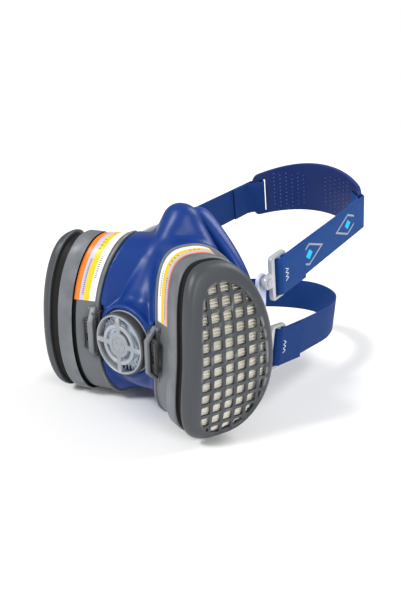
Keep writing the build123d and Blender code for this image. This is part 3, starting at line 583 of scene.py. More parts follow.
def settle(obj: bpy.types.Object, body: str, slot: str, material: str, *nodes: str) -> None:
    """Paint a piece, ride it on a body and let it stand for CAD nodes.

    Args:
        obj: The piece.
        body: Body that carries it.
        slot: Not used.
        material: Name of its material.
        nodes: CAD nodes that it replaces.
    """
    paint(obj, material)
    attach(obj, body)
    if nodes:
        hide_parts(*nodes)
    LOG.info("%s: %d faces on %s", obj.name, len(obj.data.polygons), body)


# ---------------------------------------------------------------- seat and cartridge outline
@dataclass(frozen=True)
class Outline:
    """One kidney outline: full width and height, and its shift to the rear."""

    width: float
    height: float
    shift: float = 0.0
    lift: float = 0.0

    def grown(self, by: float) -> "Outline":
        """Outline moved out by a distance on all sides."""
        return Outline(self.width + 2 * by, self.height + 2 * by, self.shift, self.lift)


@dataclass(frozen=True)
class Seat:
    """Curved seat of a cartridge. Local x runs back along it, y up it and z outward."""

    origin: tuple[float, float, float] = (31.0, -37.0, -15.5)
    toe: float = 20.7
    lean: float = 5.6
    crown: float = 127.0
    power: float = 2.6
    taper: float = 0.12
    bend: float = 5.1
    count: int = 144

    def axes(self) -> Array:
        """Rows of the local axes on the wearer's left."""
        toe, lean = math.radians(self.toe), math.radians(self.lean)
        normal = np.array([math.cos(toe), -math.sin(toe), 0.0])
        level = np.array([math.sin(toe), math.cos(toe), 0.0])
        back = level * math.cos(lean) + np.array([0, 0, 1.0]) * math.sin(lean)
        return np.array([back, np.cross(normal, back), normal])

    def place(self, points: Array, side: Side) -> Array:
        """Points of the mask from local points, mirrored on the wearer's right."""
        world = np.asarray(points, float) @ self.axes() + np.array(self.origin)
        return world * np.array([side.value, 1.0, 1.0])

    def local(self, points: Array) -> Array:
        """Local points from points on the wearer's left."""
        return (points - np.array(self.origin)) @ self.axes().T

    def level(self, height: Array, distance: float) -> Array:
        """Local z of the curved surface at a distance from the seat."""
        return np.sqrt((self.crown + distance) ** 2 - height ** 2) - self.crown

    def bean(self, outline: Outline, count: int | None = None) -> Array:
        """Points of an outline in the seat's plane, evenly spaced in angle."""
        angle = (np.arange(count or self.count) + 0.5) * 2 * math.pi / (count or self.count)
        c, s = np.cos(angle), np.sin(angle)
        c, s = np.sign(c) * np.abs(c) ** (2 / self.power), np.sign(s) * np.abs(s) ** (2 / self.power)
        x = outline.shift + outline.width / 2 * c * (1 - self.taper * s) - self.bend * (s * s - 0.5)
        return np.stack([x, outline.lift + outline.height / 2 * s], axis=1)

    def ring(self, outline: Outline, distance: float) -> Array:
        """Outline laid on the curved surface at a distance from the seat."""
        flat = self.bean(outline)
        return np.column_stack([flat, self.level(flat[:, 1], distance)])

    def skin(self, profile: Array, closed: bool = True, around: bool = False) -> tuple[Array, list[list[int]]]:
        """Loft along rows of distance, width, height and shift.

        Args:
            profile: One row for each ring.
            closed: Whether the ends are filled.
            around: Whether the last ring joins the first.

        Returns:
            Local points and faces.
        """
        rings = [self.ring(Outline(*row[1:]), row[0]) for row in profile]
        return loft(rings, closed=closed, around=around)


SEAT = Seat()


def place_on_seat(name: str, points: Array, faces: Sequence[Sequence[int]], side: Side) -> bpy.types.Object:
    """Make an object from local seat points, with its faces outward."""
    obj = new_object(name, SEAT.place(points, side), faces)
    outward(obj)
    return obj


# ---------------------------------------------------------------- cartridge
def solid_union(name: str, objects: Sequence[bpy.types.Object], cutters: Sequence[bpy.types.Object] = ()) -> bpy.types.Object:
    """Unite closed meshes, then cut others from them.

    Args:
        name: Name of the result.
        objects: Closed meshes, the first of which is kept.
        cutters: Closed meshes that are cut away.

    Returns:
        The united object.
    """
    base = objects[0]
    for other, operation in [(o, "UNION") for o in objects[1:]] + [(o, "DIFFERENCE") for o in cutters]:
        modifier = base.modifiers.new("solid", "BOOLEAN")
        modifier.object = other
        modifier.operation = operation
        modifier.solver = "MANIFOLD"
        apply_modifiers(base)
        bpy.data.objects.remove(other)
    base.name = name
    return base


def prism(name: str, outline: Sequence[Sequence[float]], low: float, high: float, edge: float = 0.0) -> bpy.types.Object:
    """Closed prism on an outline, along Z.

    Args:
        name: Name of the object.
        outline: Points of the outline.
        low: Lower height.
        high: Upper height.
        edge: Bevel of its sharp edges.

    Returns:
        The object, in local millimetres turned into metres.
    """
    flat = np.asarray(outline, float)
    rings = [np.column_stack([flat, np.full(len(flat), z)]) for z in (low, high)]
    count = len(flat)
    points = np.concatenate(rings)
    faces = [[i, (i + 1) % count, (i + 1) % count + count, i + count] for i in range(count)]
    faces += [list(range(count))[::-1], list(range(count, 2 * count))]
    obj = new_object(name, points, faces, smooth=False)
    outward(obj)
    if edge:
        bevel(obj, edge, 2)
    return obj


def cylinder(name: str, radius: float, low: float, high: float, segments: int = 64, edge: float = 0.0) -> bpy.types.Object:
    """Closed cylinder on the Z axis."""
    angles = np.linspace(0, 2 * math.pi, segments, endpoint=False)
    return prism(name, np.column_stack([np.cos(angles), np.sin(angles)]) * radius, low, high, edge)


def brick(name: str, x: tuple[float, float], y: tuple[float, float], z: tuple[float, float], edge: float = 0.0) -> bpy.types.Object:
    """Closed box between two values along each axis, with rounded edges."""
    obj = new_object(name, *box_mesh(x, y, z), smooth=False)
    outward(obj)
    if edge:
        bevel(obj, edge, 2)
    return obj


def rounded_rectangle(x: tuple[float, float], y: tuple[float, float], radius: float, steps: int = 5) -> Array:
    """Outline of a rectangle with round corners."""
    corners = [(x[0], y[0]), (x[1], y[0]), (x[1], y[1]), (x[0], y[1])]
    return round_corners(corners, radius, steps, loop=True)


def moved(obj: bpy.types.Object, matrix: Matrix) -> bpy.types.Object:
    """Move a mesh by a matrix whose shift is in millimetres."""
    scaled = matrix.copy()
    scaled.translation = scaled.translation * MM
    obj.data.transform(scaled)
    if scaled.determinant() < 0:
        obj.data.flip_normals()
    return obj


def seat_matrix(side: Side) -> Matrix:
    """Matrix from local seat coordinates to the mask."""
    matrix = Matrix(SEAT.axes().T.tolist()).to_4x4()
    matrix.translation = Vector(SEAT.origin)
    return Matrix.Scale(side.value, 4, Vector((1, 0, 0))) @ matrix


def latch_matrix(height: float) -> Matrix:
    """Matrix from the latch's square frame to local seat coordinates."""
    lift = Matrix.Translation((0, 0, SEAT.crown))
    turn = Matrix.Rotation(-math.asin(height / SEAT.crown), 4, "X")
    return lift.inverted() @ turn @ lift


def grille_tree() -> bpy.types.NodeTree:
    """Geometry Nodes tree that cuts a field of rounded square holes through a plate."""
    tree = bpy.data.node_groups.new("grille holes", "GeometryNodeTree")
    tree.interface.new_socket("Geometry", in_out="OUTPUT", socket_type="NodeSocketGeometry")
    tree.interface.new_socket("Geometry", in_out="INPUT", socket_type="NodeSocketGeometry")
    for name, value in (("Pitch", 0.00725), ("Hole", 0.00515), ("Corner", 0.0009), ("Shift U", 0.0), ("Shift V", 0.0)):
        tree.interface.new_socket(name, in_out="INPUT", socket_type=FLOAT).default_value = value
    tree.interface.new_socket("Window", in_out="INPUT", socket_type="NodeSocketObject")
    tree.interface.new_socket("Material", in_out="INPUT", socket_type="NodeSocketMaterial")
    graph = Graph(tree)
    source, sink = graph.add("NodeGroupInput"), graph.add("NodeGroupOutput")
    columns, rows = 12, 18
    grid = graph.add("GeometryNodeMeshGrid", {
        "Size X": graph.math("MULTIPLY", source.outputs["Pitch"], columns - 1.0),
        "Size Y": graph.math("MULTIPLY", source.outputs["Pitch"], rows - 1.0),
        "Vertices X": columns, "Vertices Y": rows,
    })
    shift = graph.add("ShaderNodeCombineXYZ", {0: source.outputs["Shift U"], 1: source.outputs["Shift V"], 2: -0.03})
    placed = graph.add("GeometryNodeTransform", {"Geometry": grid.outputs[0], "Translation": shift.outputs[0]})
    square = graph.add("GeometryNodeCurvePrimitiveQuadrilateral", {"Width": source.outputs["Hole"], "Height": source.outputs["Hole"]})
    fillet = graph.add("GeometryNodeFilletCurve", {0: square.outputs[0], "Count": 3, "Radius": source.outputs["Corner"]}, mode="POLY")
    filled = graph.add("GeometryNodeFillCurve", {0: fillet.outputs[0]}, mode="NGONS")
    tall = graph.add("GeometryNodeExtrudeMesh", {"Mesh": filled.outputs[0], "Offset Scale": 0.09, "Individual": False})
    flipped = graph.add("GeometryNodeFlipFaces", {0: filled.outputs[0]})
    closed = graph.add("GeometryNodeJoinGeometry")
    graph.put(closed.inputs[0], tall.outputs[0])
    graph.put(closed.inputs[0], flipped.outputs[0])
    merged = graph.add("GeometryNodeMergeByDistance", {"Geometry": closed.outputs[0], "Distance": 1e-6})
    copies = graph.add("GeometryNodeInstanceOnPoints", {"Points": placed.outputs[0], "Instance": merged.outputs[0]})
    real = graph.add("GeometryNodeRealizeInstances", {0: copies.outputs[0]})
    window = graph.add("GeometryNodeObjectInfo", {"Object": source.outputs["Window"]})
    inside = graph.add("GeometryNodeMeshBoolean", operation="INTERSECT", solver="MANIFOLD")
    graph.put(inside.inputs["Mesh 2"], real.outputs[0])
    graph.put(inside.inputs["Mesh 2"], window.outputs["Geometry"])
    cut = graph.add("GeometryNodeMeshBoolean", operation="DIFFERENCE", solver="MANIFOLD")
    graph.put(cut.inputs["Mesh 1"], source.outputs["Geometry"])
    graph.put(cut.inputs["Mesh 2"], inside.outputs[0])
    finish = graph.add("GeometryNodeSetMaterial", {"Geometry": cut.outputs[0], "Material": source.outputs["Material"]})
    graph.put(sink.inputs[0], finish.outputs[0])
    return tree


def run_nodes(obj: bpy.types.Object, tree: bpy.types.NodeTree, values: dict[str, object]) -> None:
    """Run a Geometry Nodes tree on an object and keep its result as the mesh.

    Args:
        obj: Mesh object.
        tree: The tree.
        values: Value of each named input.
    """
    modifier = obj.modifiers.new("nodes", "NODES")
    modifier.node_group = tree
    sockets = {item.name: item.identifier for item in tree.interface.items_tree if getattr(item, "in_out", "") == "INPUT"}
    for name, value in values.items():
        modifier[sockets[name]] = value
    apply_modifiers(obj)


@dataclass
class Cartridge:
    """One gas and particle cartridge, in millimetres of the seat's frame."""

    side: Side
    base: Outline = Outline(64.5, 101.0, 5.6)
    wall_low: Outline = Outline(61.4, 98.8, 5.1)
    wall_high: Outline = Outline(55.4, 96.6, 1.9)
    band: Outline = Outline(57.3, 99.5, 0.8)
    gap: Outline = Outline(51.0, 94.5, 0.0)
    cap: Outline = Outline(54.8, 99.0, 0.0)
    flange: float = 1.9
    band_from: float = 16.4
    band_to: float = 25.6
    cap_from: float = 31.2
    cap_to: float = 37.0
    wall: float = 2.0
    window: Outline = Outline(38.8, 83.8, 1.8, -2.9)
    cell: float = 7.25
    bar: float = 1.7
    cell_shift: tuple[float, float] = (4.8, -2.9)
    port_u: float = 8.0
    spigot: float = 14.6
    bore: float = 12.6
    hook_u: float = 36.0
    hook_n: float = -5.0
    hook_v: float = 9.0
    latch_v: float = -4.0
    latch_edge: float = -24.6
    loop_length: float = 32.0
    loop_reach: float = 6.2
    loop_rise: float = 3.2
    loop_bar: float = 1.8
    tongue_u: float = -26.6
    tongue_length: float = 20.0
    tongue_height: float = 7.4
    label: tuple[float, float] = (2.7, 15.9)
    label_end_v: float = 14.0
    label_end_u: float = 14.0
    pleat_pitch: float = 1.75
    pleat_depth: float = 3.4

    @property
    def body(self) -> str:
        """Body that carries the cartridge."""
        return "cartridge_" + self.side.suffix

    def row(self, distance: float, outline: Outline, grow: float = 0.0) -> tuple[float, float, float, float, float]:
        """Profile row of an outline at a distance."""
        return distance, outline.width + 2 * grow, outline.height + 2 * grow, outline.shift, outline.lift

    def shrinking(self, distance: float, outline: Outline, steps: int = 8) -> list[tuple[float, float, float, float, float]]:
        """Rows that close a face towards its middle."""
        shares = [0.06 + 0.94 * (k / steps) for k in range(steps)]
        return [(distance, outline.width * t, outline.height * t, outline.shift * t, outline.lift * t) for t in shares]

    def wall_outline(self, distance: float) -> Outline:
        """Outline of the label wall at a distance."""
        t = (distance - self.flange) / (self.band_from - self.flange)
        low, high = self.wall_low, self.wall_high
        mix = [a + (b - a) * t for a, b in ((low.width, high.width), (low.height, high.height), (low.shift, high.shift))]
        return Outline(*mix)

    def build(self) -> None:
        """Build and dress every piece of the cartridge."""
        self.build_shell()
        self.build_cap()
        self.build_filter()
        self.build_label()
        self.build_tongue()

    def build_shell(self) -> None:
        """Cup with its flange, band, spigot, hooks and latch loop."""
        inner = Outline(self.gap.width - 2 * self.wall, self.gap.height - 2 * self.wall, 0.0)
        rows = self.shrinking(0.0, self.base)
        rows += [self.row(0.0, self.base, -0.9), self.row(0.15, self.base, -0.35), self.row(0.6, self.base)]
        rows += [self.row(self.flange - 0.7, self.base), self.row(self.flange - 0.2, self.base, -0.25)]
        rows += [self.row(self.flange, self.base, -0.8)]
        low = self.wall_outline(self.flange)
        rows += [self.row(self.flange, low, 0.25), self.row(self.flange + 0.15, low, 0.05), self.row(self.flange + 0.5, low)]
        for distance in (6.0, 9.0, 12.0, 14.5):
            rows.append(self.row(distance, self.wall_outline(distance)))
        under = self.wall_outline(self.band_from + 0.9)
        rows += [self.row(self.band_from + 2.0, under, -0.9)]
        rows += [self.row(self.band_from + 2.0, self.band, -1.5), self.row(self.band_from + 0.2, self.band, -0.7)]
        rows += [self.row(self.band_from, self.band, -0.25), self.row(self.band_from + 0.4, self.band)]
        rows += [self.row(self.band_to - 0.8, self.band), self.row(self.band_to - 0.25, self.band, -0.25)]
        rows += [self.row(self.band_to, self.band, -0.8), self.row(self.band_to, self.gap, 0.3)]
        rows += [self.row(self.band_to + 0.1, self.gap, 0.05), self.row(self.band_to + 0.3, self.gap)]
        rows += [self.row(28.6, self.gap), self.row(self.cap_from, self.gap)]
        rows += [self.row(self.cap_from, inner), self.row(20.0, inner), self.row(2.2, inner)]
        rows += self.shrinking(2.2, inner)[::-1]
        shell = new_object("cartridge_shell", *SEAT.skin(rows))
        outward(shell)
        shift = Matrix.Translation((self.port_u, 0, 0))
        parts = [shell, moved(cylinder("spigot", self.spigot, -4.0, 1.0, 96, 0.4), shift)]
        parts.append(self.latch_loop())
        cutters = [moved(cylinder("bore", self.bore, -5.0, 5.0, 96), shift)]
        for v in (-self.hook_v, self.hook_v):
            parts.append(moved(self.hook(), Matrix.Translation((0, v, 0))))
        shell = solid_union("cartridge_shell_look_" + self.side.suffix, parts, cutters)
        arms = [brick("arm", (-13.2, 13.2), (-1.0, 1.0), (-0.4, 2.0), 0.3), brick("arm", (-1.0, 1.0), (-13.2, 13.2), (-0.4, 2.0), 0.3)]
        shell = solid_union(shell.name, [shell] + [moved(arm, shift) for arm in arms])
        moved(shell, seat_matrix(self.side))
        soften(shell, 38)
        settle(shell, self.body, "cartridge_plastic", "cartridge plastic", "cartridge_shell_" + self.side.suffix)
        # paints shade into the groove under the cap and the undercut under the band
        self.darken_grooves(shell)

    def darken_grooves(self, shell: bpy.types.Object) -> None:
        """Paint shade: the floor of the groove under the cap and the undercut under the band get a near-black material
        that stands for the shade there.
        """
        shell.data.materials.append(bpy.data.materials["groove plastic"])
        centres = np.array([face.center[:] for face in shell.data.polygons]) / MM
        q = SEAT.local(centres * np.array([self.side.value, 1.0, 1.0]))
        level = np.hypot(q[:, 1], q[:, 2] + SEAT.crown) - SEAT.crown
        reach = Facepiece.bean_distance(q, self.band.grown(-0.9))
        # painted shade: faces in the band-to-cap groove and under the band's overhang take the near-black material
        groove = (level > self.band_to - 0.05) & (level < self.cap_from + 0.2) & (reach < 0)
        undercut_shade = (level > self.band_from - 0.05) & (level < self.band_from + 2.05) & (reach < 0)
        for face, dark in zip(shell.data.polygons, groove | undercut_shade):
            face.material_index = int(dark)

    def hook(self) -> bpy.types.Object:
        """Open hook that takes the pin, in the seat's frame."""
        outer, inner = 3.0, 1.56
        turn = np.radians(np.linspace(42, 318, 20))
        ring = [(outer * math.cos(a), outer * math.sin(a)) for a in turn]
        ring += [(inner * math.cos(a), inner * math.sin(a)) for a in turn[::-1]]
        hook = prism("hook", ring, -2.0, 2.0)
        web = brick("web", (-3.0, -0.2), (1.8, 5.8), (-2.0, 2.0))
        hook = solid_union("hook", [hook, web])
        turned = Matrix.Translation((self.hook_u, 0, self.hook_n)) @ Matrix.Rotation(math.radians(90), 4, "X")
        return moved(hook, turned)

    def latch_loop(self) -> bpy.types.Object:
        """Raised loop beside the flange, with a bevelled front frame."""
        half = self.loop_length / 2
        front, edge, bar = self.latch_edge - self.loop_reach, self.latch_edge, self.loop_bar
        top, bottom = 7.5, 5.5
        outline = [(edge + 3.0, -half), (edge - 0.6, -half), (front, bottom - half), (front, half - top), (edge - 0.6, half), (edge + 3.0, half)]
        loop = prism("loop", outline, 0.0, self.loop_rise, 0.45)
        inside = [(edge, bar - half), (front + bar, bottom - half + 0.8), (front + bar, half - top - 0.8), (edge, half - bar)]
        cut = prism("loop hole", inside, -4.0, 9.0)
        rails = []
        for v in (-half + 1.0, half - 1.0):
            rails.append(brick("rail", (edge - 0.4, edge + 2.8), (v - 0.9, v + 0.9), (1.0, self.loop_rise + 1.6), 0.4))
        loop = solid_union("loop", [loop] + rails, [cut])
        return moved(loop, latch_matrix(self.latch_v))

    def build_tongue(self) -> None:
        """Release tongue with its window and grip ribs."""
        half = self.tongue_length / 2
        outline = rounded_rectangle((-half, half), (0.3, self.tongue_height), 2.2)
        plate = prism("tongue", outline, -0.95, 0.95, 0.3)
        window = prism("window", rounded_rectangle((-4.6, 0.6), (2.2, 5.4), 0.6), -3, 3)
        knuckle = moved(cylinder("knuckle", 1.6, -half, half, 40, 0.2), Matrix.Rotation(math.radians(90), 4, "Y"))
        ribs = [brick("rib", (a, a + 1.0), (2.0, 6.2), (0.6, 1.35), 0.2) for a in (3.4, 5.2, 7.0)]
        grip = brick("grip", (-half + 1.4, half - 1.4), (self.tongue_height - 1.3, self.tongue_height - 0.1), (0.5, 1.7), 0.35)
        tongue = solid_union("latch_tongue_look_" + self.side.suffix, [plate, knuckle, grip] + ribs, [window])
        pin = moved(cylinder("pin", 0.96, -half - 2, half + 2, 32), Matrix.Rotation(math.radians(90), 4, "Y"))
        tongue = solid_union(tongue.name, [tongue], [pin])
        # local x of the plate runs up the seat, y outward and z to the front
        axes = Matrix(((0, 0, -1), (1, 0, 0), (0, 1, 0))).to_4x4()
        axes.translation = Vector((self.tongue_u, 0, 0.3))
        moved(tongue, seat_matrix(self.side) @ latch_matrix(self.latch_v) @ axes)
        soften(tongue, 38)
        suffix = self.side.suffix
        settle(tongue, "latch_" + suffix, "frame_plastic", "dark plastic", "latch_tongue_" + suffix)

    def build_cap(self) -> None:
        """Outer cap: broad rounded edge, dished face and grille."""
        inner = Outline(self.gap.width - 2 * self.wall + 0.2, self.gap.height - 2 * self.wall + 0.2, 0.0)
        face = self.cap_to - 2.0
        window = self.window
        rows = self.shrinking(self.cap_to - 0.55, window)
        rows += [self.row(self.cap_to - 0.55, window, 0.3), self.row(self.cap_to - 0.30, window, 1.0)]
        rows += [self.row(self.cap_to - 0.04, window, 1.8), self.row(self.cap_to, window, 2.4)]
        edge, drop, count = 4.4, 4.6, 9
        for k in range(1, count + 1):
            angle = math.pi / 2 * k / count
            rows.append(self.row(self.cap_to - drop * (1 - math.cos(angle)), self.cap, -edge * (1 - math.sin(angle))))
        rows += [self.row(32.2, self.cap), self.row(self.cap_from + 0.1, self.cap, -0.2), self.row(self.cap_from, self.cap, -0.5)]
        rows += [self.row(self.cap_from, inner, 1.4), self.row(self.cap_from + 0.4, inner, 0.1), self.row(face, inner)]
        rows += self.shrinking(face, inner)[::-1]
        name = "cartridge_cap_look_" + self.side.suffix
        cap = new_object(name, *SEAT.skin(rows))
        outward(cap)
        flat = SEAT.bean(window.grown(0.35))
        cutter = prism("window", flat, -20, 60)
        run_nodes(cap, bpy.data.node_groups["grille holes"], {
            "Pitch": self.cell * MM, "Hole": (self.cell - self.bar) * MM, "Corner": 1.0 * MM,
            "Shift U": (self.cell_shift[0] - 0.5 * self.cell + self.cell / 2) * MM,
            "Shift V": self.cell_shift[1] * MM, "Window": cutter, "Material": bpy.data.materials["cap plastic"],
        })
        bpy.data.objects.remove(cutter)
        moved(cap, seat_matrix(self.side))
        soften(cap, 40)
        settle(cap, self.body, "cartridge_plastic", "cap plastic", "cartridge_cap_" + self.side.suffix)

    def build_filter(self) -> None:
        """Pleated paper behind the grille."""
        fit = Outline(self.gap.width - 2 * self.wall - 0.4, self.gap.height - 2 * self.wall - 0.4, 0.0)
        top = self.cap_to - 2.2
        bed_top = top - self.pleat_depth
        rows = self.shrinking(top - 8.0, fit) + [self.row(top - 8.0, fit), self.row(bed_top + 0.3, fit)]
        rows += self.shrinking(bed_top + 0.3, fit)[::-1]
        bed = new_object("bed", *SEAT.skin(rows))
        outward(bed)
        bound = prism("bound", SEAT.bean(fit), -40, 60)
        folds = new_object("folds", np.zeros((0, 3)), [])
        run_nodes(folds, bpy.data.node_groups["pleats"], {
            "Pitch": self.pleat_pitch * MM, "Depth": self.pleat_depth * MM, "Crest": top * MM,
            "Crown": SEAT.crown * MM, "Span": self.gap.height * MM, "Bound": bound,
            "Material": bpy.data.materials["filter paper"],
        })
        bpy.data.objects.remove(bound)
        paper = join("filter_pleats_" + self.side.suffix, [folds, bed])
        moved(paper, seat_matrix(self.side))
        soften(paper, 50)
        settle(paper, self.body, "filter_media", "filter paper", "particulate_filter_" + self.side.suffix)

    def build_label(self) -> None:
        """Printed label round the front and over the top of the wall."""
        low, high = self.label
        fine = 720
        flat = SEAT.bean(self.wall_outline((low + high) / 2), fine)
        pick = (flat[:, 1] > self.label_end_v) & (flat[:, 0] < self.label_end_u)
        order = np.flatnonzero(pick)[::-4]
        across = np.linspace(0, 1, 7)
        grids = []
        for lift in (0.10, 0.42):
            grid = []
            for t in across:
                distance = low + (high - low) * t
                line = SEAT.bean(self.wall_outline(distance).grown(lift), fine)[order]
                grid.append(np.column_stack([line, SEAT.level(line[:, 1], distance)]))
            grids.append(np.array(grid))
        rows, count = len(across), len(order)
        points = np.concatenate([grid.reshape(-1, 3) for grid in grids])
        size = rows * count
        faces = []
        for r in range(rows - 1):
            for c in range(count - 1):
                cell = [r * count + c, r * count + c + 1, (r + 1) * count + c + 1, (r + 1) * count + c]
                faces += [[i + size for i in cell], cell[::-1]]
        border = [c for c in range(count)] + [r * count + count - 1 for r in range(1, rows)]
        border += [(rows - 1) * count + c for c in range(count - 2, -1, -1)] + [r * count for r in range(rows - 2, 0, -1)]
        for k, a in enumerate(border):
            b = border[(k + 1) % len(border)]
            faces.append([a, b, b + size, a + size])
        label = new_object("label_" + self.side.suffix, SEAT.place(points, self.side), faces)
        path = grids[1][rows // 2]
        length = np.concatenate([[0], np.cumsum(np.linalg.norm(np.diff(path, axis=0), axis=1))])
        layer = label.data.uv_layers.new(name="label")
        uv = np.array([(length[-1] - length[i % count], across[(i % size) // count]) for i in range(len(points))])
        for loop in label.data.loops:
            layer.data[loop.index].uv = uv[loop.vertex_index]
        outward(label, 0.001)
        soften(label, 40)
        settle(label, self.body, "label_vinyl", "label print", "cartridge_label_" + self.side.suffix)


def pleat_tree() -> bpy.types.NodeTree:
    """Geometry Nodes tree that lays ridged paper folds over the crowned bed and trims them to an outline."""
    tree = bpy.data.node_groups.new("pleats", "GeometryNodeTree")
    tree.interface.new_socket("Geometry", in_out="OUTPUT", socket_type="NodeSocketGeometry")
    tree.interface.new_socket("Geometry", in_out="INPUT", socket_type="NodeSocketGeometry")
    for name in ("Pitch", "Depth", "Crest", "Crown", "Span"):
        tree.interface.new_socket(name, in_out="INPUT", socket_type=FLOAT)
    tree.interface.new_socket("Bound", in_out="INPUT", socket_type="NodeSocketObject")
    tree.interface.new_socket("Material", in_out="INPUT", socket_type="NodeSocketMaterial")
    graph = Graph(tree)
    source, sink = graph.add("NodeGroupInput"), graph.add("NodeGroupOutput")
    pitch, depth = source.outputs["Pitch"], source.outputs["Depth"]
    count = graph.math("FLOOR", graph.math("DIVIDE", source.outputs["Span"], pitch))
    line = graph.add("GeometryNodeMeshLine", {"Count": count})
    index = graph.add("GeometryNodeInputIndex").outputs[0]
    middle = graph.math("MULTIPLY", graph.math("SUBTRACT", count, 1.0), 0.5)
    height = graph.math("MULTIPLY", graph.math("SUBTRACT", index, middle), pitch)
    radius = graph.math("ADD", source.outputs["Crown"], source.outputs["Crest"])
    level = graph.math("SUBTRACT", graph.math("SQRT", graph.math("SUBTRACT", graph.math("MULTIPLY", radius, radius), graph.math("MULTIPLY", height, height))), source.outputs["Crown"])
    wander = graph.add("FunctionNodeRandomValue", {"Min": -1.0, "Max": 1.0, "Seed": 5}, data_type="FLOAT")
    spread = [socket for socket in wander.outputs if socket.enabled][0]
    rise = graph.math("SUBTRACT", level, graph.math("MULTIPLY", graph.math("ABSOLUTE", spread), graph.math("MULTIPLY", depth, 0.10)))
    spot = graph.add("ShaderNodeCombineXYZ", {1: height, 2: rise})
    placed = graph.add("GeometryNodeSetPosition", {"Geometry": line.outputs[0], "Position": spot.outputs[0]})
    fold = graph.add("GeometryNodeMeshCone", {"Vertices": 4, "Side Segments": 1, "Radius Top": 0.12, "Radius Bottom": 0.69, "Depth": 1.0})
    size = graph.add("ShaderNodeCombineXYZ", {0: 0.09, 1: pitch, 2: depth})
    square = graph.add("GeometryNodeTransform", {"Geometry": fold.outputs[0], "Rotation": (0.0, 0.0, math.pi / 4), "Translation": (0.0, 0.0, -1.0)})
    shaped = graph.add("GeometryNodeTransform", {"Geometry": square.outputs[0], "Scale": size.outputs[0]})
    tilt = graph.math("MULTIPLY", graph.math("ARCSINE", graph.math("DIVIDE", height, radius)), -1.0)
    lean = graph.math("ADD", tilt, graph.math("MULTIPLY", spread, 0.06))
    turn = graph.add("ShaderNodeCombineXYZ", {0: lean})
    copies = graph.add("GeometryNodeInstanceOnPoints", {"Points": placed.outputs[0], "Instance": shaped.outputs[0]})
    graph.put(copies.inputs["Rotation"], turn.outputs[0])
    real = graph.add("GeometryNodeRealizeInstances", {0: copies.outputs[0]})
    bound = graph.add("GeometryNodeObjectInfo", {"Object": source.outputs["Bound"]})
    trim = graph.add("GeometryNodeMeshBoolean", operation="INTERSECT", solver="MANIFOLD")
    graph.put(trim.inputs["Mesh 2"], real.outputs[0])
    graph.put(trim.inputs["Mesh 2"], bound.outputs["Geometry"])
    finish = graph.add("GeometryNodeSetMaterial", {"Geometry": trim.outputs[0], "Material": source.outputs["Material"]})
    graph.put(sink.inputs[0], finish.outputs[0])
    return tree


# ---------------------------------------------------------------- facepiece
def smooth_min(a: Array, b: Array, radius: float) -> Array:
    """Union of two distance fields, blended over a radius."""
    h = np.clip(0.5 + 0.5 * (b - a) / radius, 0, 1)
    return b + (a - b) * h - radius * h * (1 - h)


def smooth_max(a: Array, b: Array, radius: float) -> Array:
    """Intersection of two distance fields, blended over a radius."""
    return -smooth_min(-a, -b, radius)


def round_cone(p: Array, start: Sequence[float], end: Sequence[float], low: float, high: float) -> Array:
    """Distance to a cone with round ends.

    Args:
        p: Points.
        start: Centre of the first end.
        end: Centre of the last end.
        low: Radius at the first end.
        high: Radius at the last end.

    Returns:
        Signed distance.
    """
    a, b = np.asarray(start, float), np.asarray(end, float)
    t = np.clip(((p - a) @ (b - a)) / np.dot(b - a, b - a), 0, 1)
    return np.linalg.norm(p - a - t[:, None] * (b - a), axis=1) - (low + (high - low) * t)


def ellipsoid(p: Array, centre: Sequence[float], radii: Sequence[float]) -> Array:
    """Near distance to an ellipsoid."""
    q = (p - np.asarray(centre, float)) / np.asarray(radii, float)
    k = np.linalg.norm(q, axis=1)
    slope = np.linalg.norm(q / np.asarray(radii, float), axis=1)
    return k * (k - 1) / np.maximum(slope, 1e-6)


def surface_net(field: Callable[[Array], Array], low: Array, high: Array, step: float) -> tuple[Array, Array]:
    """Mesh the zero surface of a distance field.

    Args:
        field: Function from points to signed distances.
        low: Lowest corner of the grid.
        high: Highest corner of the grid.
        step: Grid step.

    Returns:
        Points and quads, with faces outward.
    """
    axes = [np.arange(low[i], high[i] + step, step) for i in range(3)]
    shape = tuple(len(axis) for axis in axes)
    grid = np.stack(np.meshgrid(*axes, indexing="ij"), axis=-1).reshape(-1, 3)
    value = np.concatenate([field(part) for part in np.array_split(grid, 24)]).reshape(shape)
    inside = value < 0
    cell_shape = tuple(n - 1 for n in shape)
    total, count = np.zeros(cell_shape + (3,)), np.zeros(cell_shape)
    edges = []
    for axis in range(3):
        first = [slice(None)] * 3
        second = [slice(None)] * 3
        first[axis], second[axis] = slice(0, -1), slice(1, None)
        a, b = value[tuple(first)], value[tuple(second)]
        crossing = (a < 0) != (b < 0)
        share = np.where(crossing, a / np.where(crossing, a - b, 1.0), 0.0)
        i, j, k = np.nonzero(crossing)
        spot = np.stack([axes[0][i], axes[1][j], axes[2][k]], axis=1).astype(float)
        spot[:, axis] += share[i, j, k] * step
        others = [n for n in range(3) if n != axis]
        for da in (0, -1):
            for db in (0, -1):
                index = [i.copy(), j.copy(), k.copy()]
                index[others[0]] = index[others[0]] + da
                index[others[1]] = index[others[1]] + db
                good = np.all([(index[n] >= 0) & (index[n] < cell_shape[n]) for n in range(3)], axis=0)
                key = tuple(index[n][good] for n in range(3))
                np.add.at(total, key, spot[good])
                np.add.at(count, key, 1)
        edges.append((axis, others, np.stack([i, j, k], axis=1), inside[tuple(first)][i, j, k]))
    used = count > 0
    number = np.full(cell_shape, -1)
    number[used] = np.arange(used.sum())
    points = total[used] / count[used][:, None]
    quads = []
    for axis, others, cells, starts_inside in edges:
        corners = []
        for da, db in ((0, 0), (-1, 0), (-1, -1), (0, -1)):
            index = cells.copy()
            index[:, others[0]] += da
            index[:, others[1]] += db
            corners.append(number[index[:, 0], index[:, 1], index[:, 2]])
        quad = np.stack(corners, axis=1)
        flip = starts_inside if axis == 1 else ~starts_inside
        quad[flip] = quad[flip][:, ::-1]
        quads.append(quad)
    return points, np.concatenate(quads)


